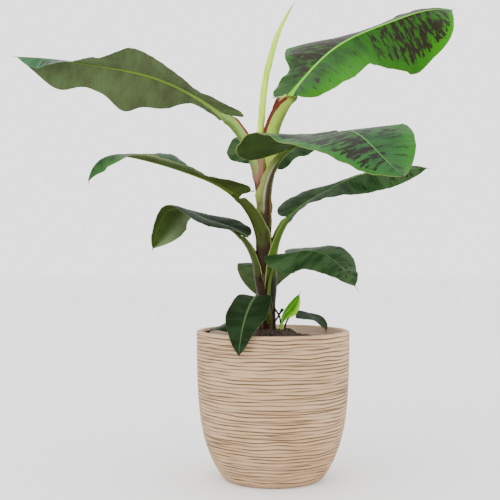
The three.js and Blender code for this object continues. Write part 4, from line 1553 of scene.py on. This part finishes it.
# ------------------------------------------------------------------ pot and soil
@dataclass(frozen=True)
class Pot:
    """The round clay pot with irregular combed grooves."""

    height: float = 0.340
    radius: float = 0.1765
    taper: float = 0.045
    taper_power: float = 1.5
    turn_in: float = 0.31
    turn_power: float = 4.4
    wall: float = 0.016
    floor: float = 0.018
    rim_round: float = 0.0055
    foot_round: float = 0.014
    foot_cut: float = 0.009
    sides: int = 172
    wall_rows: int = 520
    groove_spacing: float = 0.0079
    first_groove: float = 0.008
    plain_band: float = 0.006
    groove_depth: float = 0.0026
    groove_above: float = 0.0007
    groove_below: float = 0.0015
    waver: float = 0.0030
    harmonics: int = 14
    scratches: int = 110
    scratch_width: float = 0.0011
    slant: float = 0.009
    grain: float = 0.0004
    seed: int = 19

    def outer(self, z: Array) -> Array:
        """Radius of the outside: r (1 - taper d^p - turn_in d^q), d the share below the rim.

        A quarter ellipse rounds the last of it into the foot.

        Args:
            z: heights.

        Returns:
            The radius at each height.
        """
        down = 1 - z / self.height
        low = np.clip(1 - z / self.foot_round, 0, 1)
        return (self.radius * (1 - self.taper * down ** self.taper_power
                               - self.turn_in * down ** self.turn_power)
                - self.foot_cut * (1 - np.sqrt(1 - low ** 2)))

    def relief(self, z: Array, angle: Array) -> Array:
        """How deep the grooves are at each point of the wall, from 0 to 1.

        Groove k lies at its even height plus a smooth periodic wander; its section is
        a bell that is narrow above, under the next rib, and wide below.  Short slanting
        scratches lie between and across them.

        Args:
            z: column of heights.
            angle: row of angles round the pot.

        Returns:
            The share of the full groove depth.
        """
        draw = np.random.default_rng(self.seed)
        last = self.height - self.plain_band
        count = int((last - self.first_groove) / self.groove_spacing) + 1
        harmonics = np.arange(1, self.harmonics + 1)[:, None]
        waves = np.concatenate([np.cos(harmonics * angle), np.sin(harmonics * angle)])
        fall = np.tile(1 / (1 + 0.22 * harmonics[:, 0] ** 1.15), 2)
        paths = draw.normal(size=(count, len(waves))) * fall
        paths[1:] = 0.55 * paths[1:] + 0.6 * paths[:-1]
        strengths = draw.normal(size=(count, len(waves))) * fall ** 0.5
        deepest = np.zeros((len(z), angle.shape[1]))
        for k in range(count):
            level = self.first_groove + k * self.groove_spacing
            middle = level + self.waver * (paths[k] @ waves) / 3.0
            strength = np.clip(0.8 + 0.4 * (strengths[k] @ waves) / 3.0, 0.15, 1.0)
            width = np.where(z > middle, self.groove_above, self.groove_below)
            deepest = np.maximum(deepest, strength * bell(z, middle, width))
        for _ in range(self.scratches):
            level = self.first_groove + draw.random() * (last - self.first_groove)
            away = (angle - FULL_TURN * draw.random()) % FULL_TURN - np.pi
            reach = 0.12 + 0.4 * draw.random()
            middle = level + self.slant * (2 * draw.random() - 1) * away
            strength = (0.35 + 0.55 * draw.random()) * np.exp(-(away / reach) ** 4)
            deepest = np.maximum(deepest, strength * bell(z, middle, self.scratch_width))
        return deepest * smooth(0.004, 0.012, z) * smooth(-0.004, 0.001, last - z)

    def build(self) -> None:
        """Makes the pot: the wall, the rounded rim, the inside and the floor, turned round."""
        angle = bearings(self.sides)
        shoulder = self.height - self.rim_round
        z = np.linspace(0, shoulder, self.wall_rows)[:, None]
        groove = self.relief(z, angle)
        grain = self.grain * (lumps(angle / FULL_TURN * LATTICE, z / 0.004, 5) - 0.5)
        wall = self.outer(z) - self.groove_depth * groove + grain * smooth(0, 0.01, z)
        turn = np.linspace(0, np.pi / 2, 7)[:, None]
        out, back = turn[1:], turn[:-1]
        rim_out = self.outer(np.array(shoulder)) - self.rim_round
        rim_in = rim_out - self.wall + 2 * self.rim_round
        over = np.concatenate([rim_out + self.rim_round * np.cos(out),
                               rim_in - self.rim_round * np.sin(back)])
        over_z = shoulder + self.rim_round * np.concatenate([np.sin(out), np.cos(back)])
        inner_z = np.linspace(shoulder, self.floor, 26)[:, None]
        inner = self.outer(inner_z) - self.wall
        centre = np.array([[0.5], [0.02]])
        radius = np.concatenate([wall[:1] * centre[::-1], wall, over + 0 * angle, inner + 0 * angle,
                                 inner[-1] * centre + 0 * angle])
        height = np.concatenate([np.zeros((2, 1)), z, over_z, inner_z, np.full((2, 1), self.floor)])
        depth = np.zeros_like(radius)
        depth[2:2 + self.wall_rows] = groove
        within = np.zeros_like(radius)
        within[2 + self.wall_rows + len(over):] = 1
        rings = np.stack([radius * np.cos(angle), radius * np.sin(angle), height + 0 * angle], -1)
        shell = tube(rings, {"groove": depth, "inside": within})
        place("clay_pot", shell, ClayFinish().material(), "pot", "pot")


@dataclass(frozen=True)
class Soil:
    """The soil: a low crumbly mound round the stem, and the root ball below it."""

    pot: Pot
    level: float = 0.316
    profile: tuple[tuple[float, float], ...] = (
        (0.0, 0.341), (0.040, 0.341), (0.058, 0.331), (0.084, 0.319), (0.2, 0.316))
    sunk: float = 0.001
    bumps: tuple[tuple[float, float, int], ...] = ((0.0060, 0.022, 3), (0.0040, 0.008, 4), (0.0022, 0.003, 5))
    gap: float = 0.0007
    sides: int = 220
    skirt: float = 0.006
    crumbs: int = 900
    crumb_margin: float = 0.006
    crumb_size: float = 0.0011
    crumb_growth: float = 0.0022
    seed: int = 23

    def surface(self, x: Array, y: Array) -> Array:
        """Height of the soil: the mound's profile plus `bumps`, each (height, cell, seed).

        Args:
            x: places from left to right.
            y: places from front to back.

        Returns:
            The height at each place.
        """
        r = np.hypot(x, y)
        radii, heights = np.array(self.profile).T
        mound = np.interp(r, radii, heights)
        rough = sum(height * (lumps(x / cell + 30, y / cell + 30, seed) - 0.5)
                    for height, cell, seed in self.bumps)
        return mound - self.sunk + rough

    def crumb_shell(self) -> Shell:
        """Loose crumbs: squashed twenty-faced lumps, dealt evenly over the soil.

        Returns:
            One shell with all of them.
        """
        draw = np.random.default_rng(self.seed)
        golden = (1 + 5 ** 0.5) / 2
        corners = [(0, s, t * golden) for s in (-1, 1) for t in (-1, 1)]
        base = np.array([np.roll(c, k) for k in range(3) for c in corners]) / golden
        gaps = np.linalg.norm(base[:, None] - base[None], axis=-1)
        near = gaps < 1.01 * gaps[gaps > 0].min()
        faces = [[i, j, k] for i in range(12) for j in range(i + 1, 12) for k in range(j + 1, 12)
                 if near[i, j] and near[j, k] and near[i, k]]
        solid = Shell(base, [f if np.dot(np.cross(base[f[1]] - base[f[0]], base[f[2]] - base[f[0]]),
                                         base[f[0]]) > 0 else f[::-1] for f in faces])
        reach = self.pot.outer(np.array(self.level)) - self.pot.wall - self.crumb_margin
        r = reach * np.sqrt(draw.random(self.crumbs))
        angle = FULL_TURN * draw.random(self.crumbs)
        x, y = r * np.cos(angle), r * np.sin(angle)
        size = self.crumb_size + self.crumb_growth * draw.random(self.crumbs) ** 2.5
        squash = 0.6 + 0.6 * draw.random((self.crumbs, 1, 3))
        jitter = 1 + 0.25 * draw.normal(size=(self.crumbs, 12, 1))
        points = solid.points[None] * squash * np.clip(jitter, 0.6, 1.4) * size[:, None, None]
        centre = np.stack([x, y, self.surface(x, y) + 0.3 * size], -1)
        faces = (np.array(solid.faces)[None] + 12 * np.arange(self.crumbs)[:, None, None]).reshape(-1, 3)
        return Shell((points + centre[:, None]).reshape(-1, 3), faces.tolist())

    def build(self) -> None:
        """Makes the soil: its surface, and a plain wall and underside in the pot."""
        angle = bearings(self.sides)
        inner = self.pot.outer(np.array(self.level)) - self.pot.wall - self.gap
        r = inner * np.linspace(0.01, 1, 110)[:, None]
        x, y = r * np.cos(angle), r * np.sin(angle)
        top = np.stack([x, y, self.surface(x, y)], -1)
        side_z = np.linspace(self.level - self.skirt, self.pot.floor + self.gap, 20)[:, None]
        side_r = self.pot.outer(side_z) - self.pot.wall - self.gap
        side = np.stack([side_r * np.cos(angle), side_r * np.sin(angle), side_z + 0 * angle], -1)
        under = side[-1:] * np.array([0.02, 0.02, 1.0])
        shell = tube(np.concatenate([top, side, under]), {})
        place("soil_mound", join([shell, self.crumb_shell()]), SoilFinish().material(), "soil", "soil")


# ------------------------------------------------------------------ studio
@dataclass(frozen=True)
class Studio:
    """A pale floor, soft light and the camera.

    Each light has a name, a place, the point that it faces, a side and a power.
    """

    lens: float = 68.5
    eye: tuple[float, float, float] = (-0.053, -2.2, 0.525)
    floor_size: float = 30.0
    floor_colour: str = "f4f4f4"
    sky: float = 2.3
    lights: tuple[tuple[Any, ...], ...] = (
        ("key", (-1.2, -2.2, 2.6), (0, 0, 0.6), 1.8, 30),
        ("fill", (1.8, -1.8, 1.4), (0, 0, 0.5), 1.8, 10),
    )

    def area(self, name: str, place_at: tuple[float, float, float], aim: tuple[float, float, float],
             size: float, power: float) -> None:
        """Adds a square soft light.

        Args:
            name: the light's name.
            place_at: where it stands.
            aim: the point that it faces.
            size: its side, in metres.
            power: its power, in watts.
        """
        light = bpy.data.lights.new(name, "AREA")
        light.size, light.energy = size, power
        lamp = bpy.data.objects.new(name, light)
        bpy.context.scene.collection.objects.link(lamp)
        lamp.location = place_at
        x, y, z = unit(np.array(aim) - np.array(place_at))
        lamp.rotation_euler = (math.acos(-z), 0, math.atan2(-x, y))

    def build(self) -> None:
        """Makes the floor, the lights and the camera."""
        half = self.floor_size / 2
        mesh = bpy.data.meshes.new("floor")
        mesh.from_pydata([(-half, -half, 0), (half, -half, 0), (half, half, 0), (-half, half, 0)],
                         [], [(0, 1, 2, 3)])
        mesh.materials.append(Paint("floor", base_color=tint(self.floor_colour), roughness=0.8).material)
        floor = bpy.data.objects.new("floor", mesh)
        bpy.context.scene.collection.objects.link(floor)
        world = bpy.data.worlds.new("studio")
        bpy.context.scene.world = world
        world.use_nodes = True
        sky = world.node_tree.nodes["Background"].inputs
        sky["Color"].default_value = (1, 1, 1, 1)
        sky["Strength"].default_value = self.sky
        for light in self.lights:
            self.area(*light)
        camera = bpy.data.cameras.new("camera")
        camera.lens, camera.sensor_width = self.lens, 36.0
        eye = bpy.data.objects.new("camera", camera)
        bpy.context.scene.collection.objects.link(eye)
        eye.location = self.eye
        eye.rotation_euler = (math.pi / 2, 0, 0)
        bpy.context.scene.camera = eye


def main() -> None:
    """Builds the plant on its frame."""
    logging.basicConfig(level=logging.INFO, format="%(name)s: %(message)s")
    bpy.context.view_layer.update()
    pot = Pot()
    pot.build()
    Soil(pot).build()
    dry = [husk.build(STEM) for husk in HUSKS]
    # The twigs' own dark green, drawn with the stem's painted-shade colour.
    dry += [twig(knots, radii, {"dark_tone_and_shade": 1.0}) for knots, radii in TWIGS]
    place("sheathed_stem", join([STEM.build(), *dry]), StemFinish().material(), "stem", "pseudostem")
    Foliage().build()
    for shoot in SHOOTS:
        shoot.build()
    Studio().build()


if __name__ == "__main__":
    main()
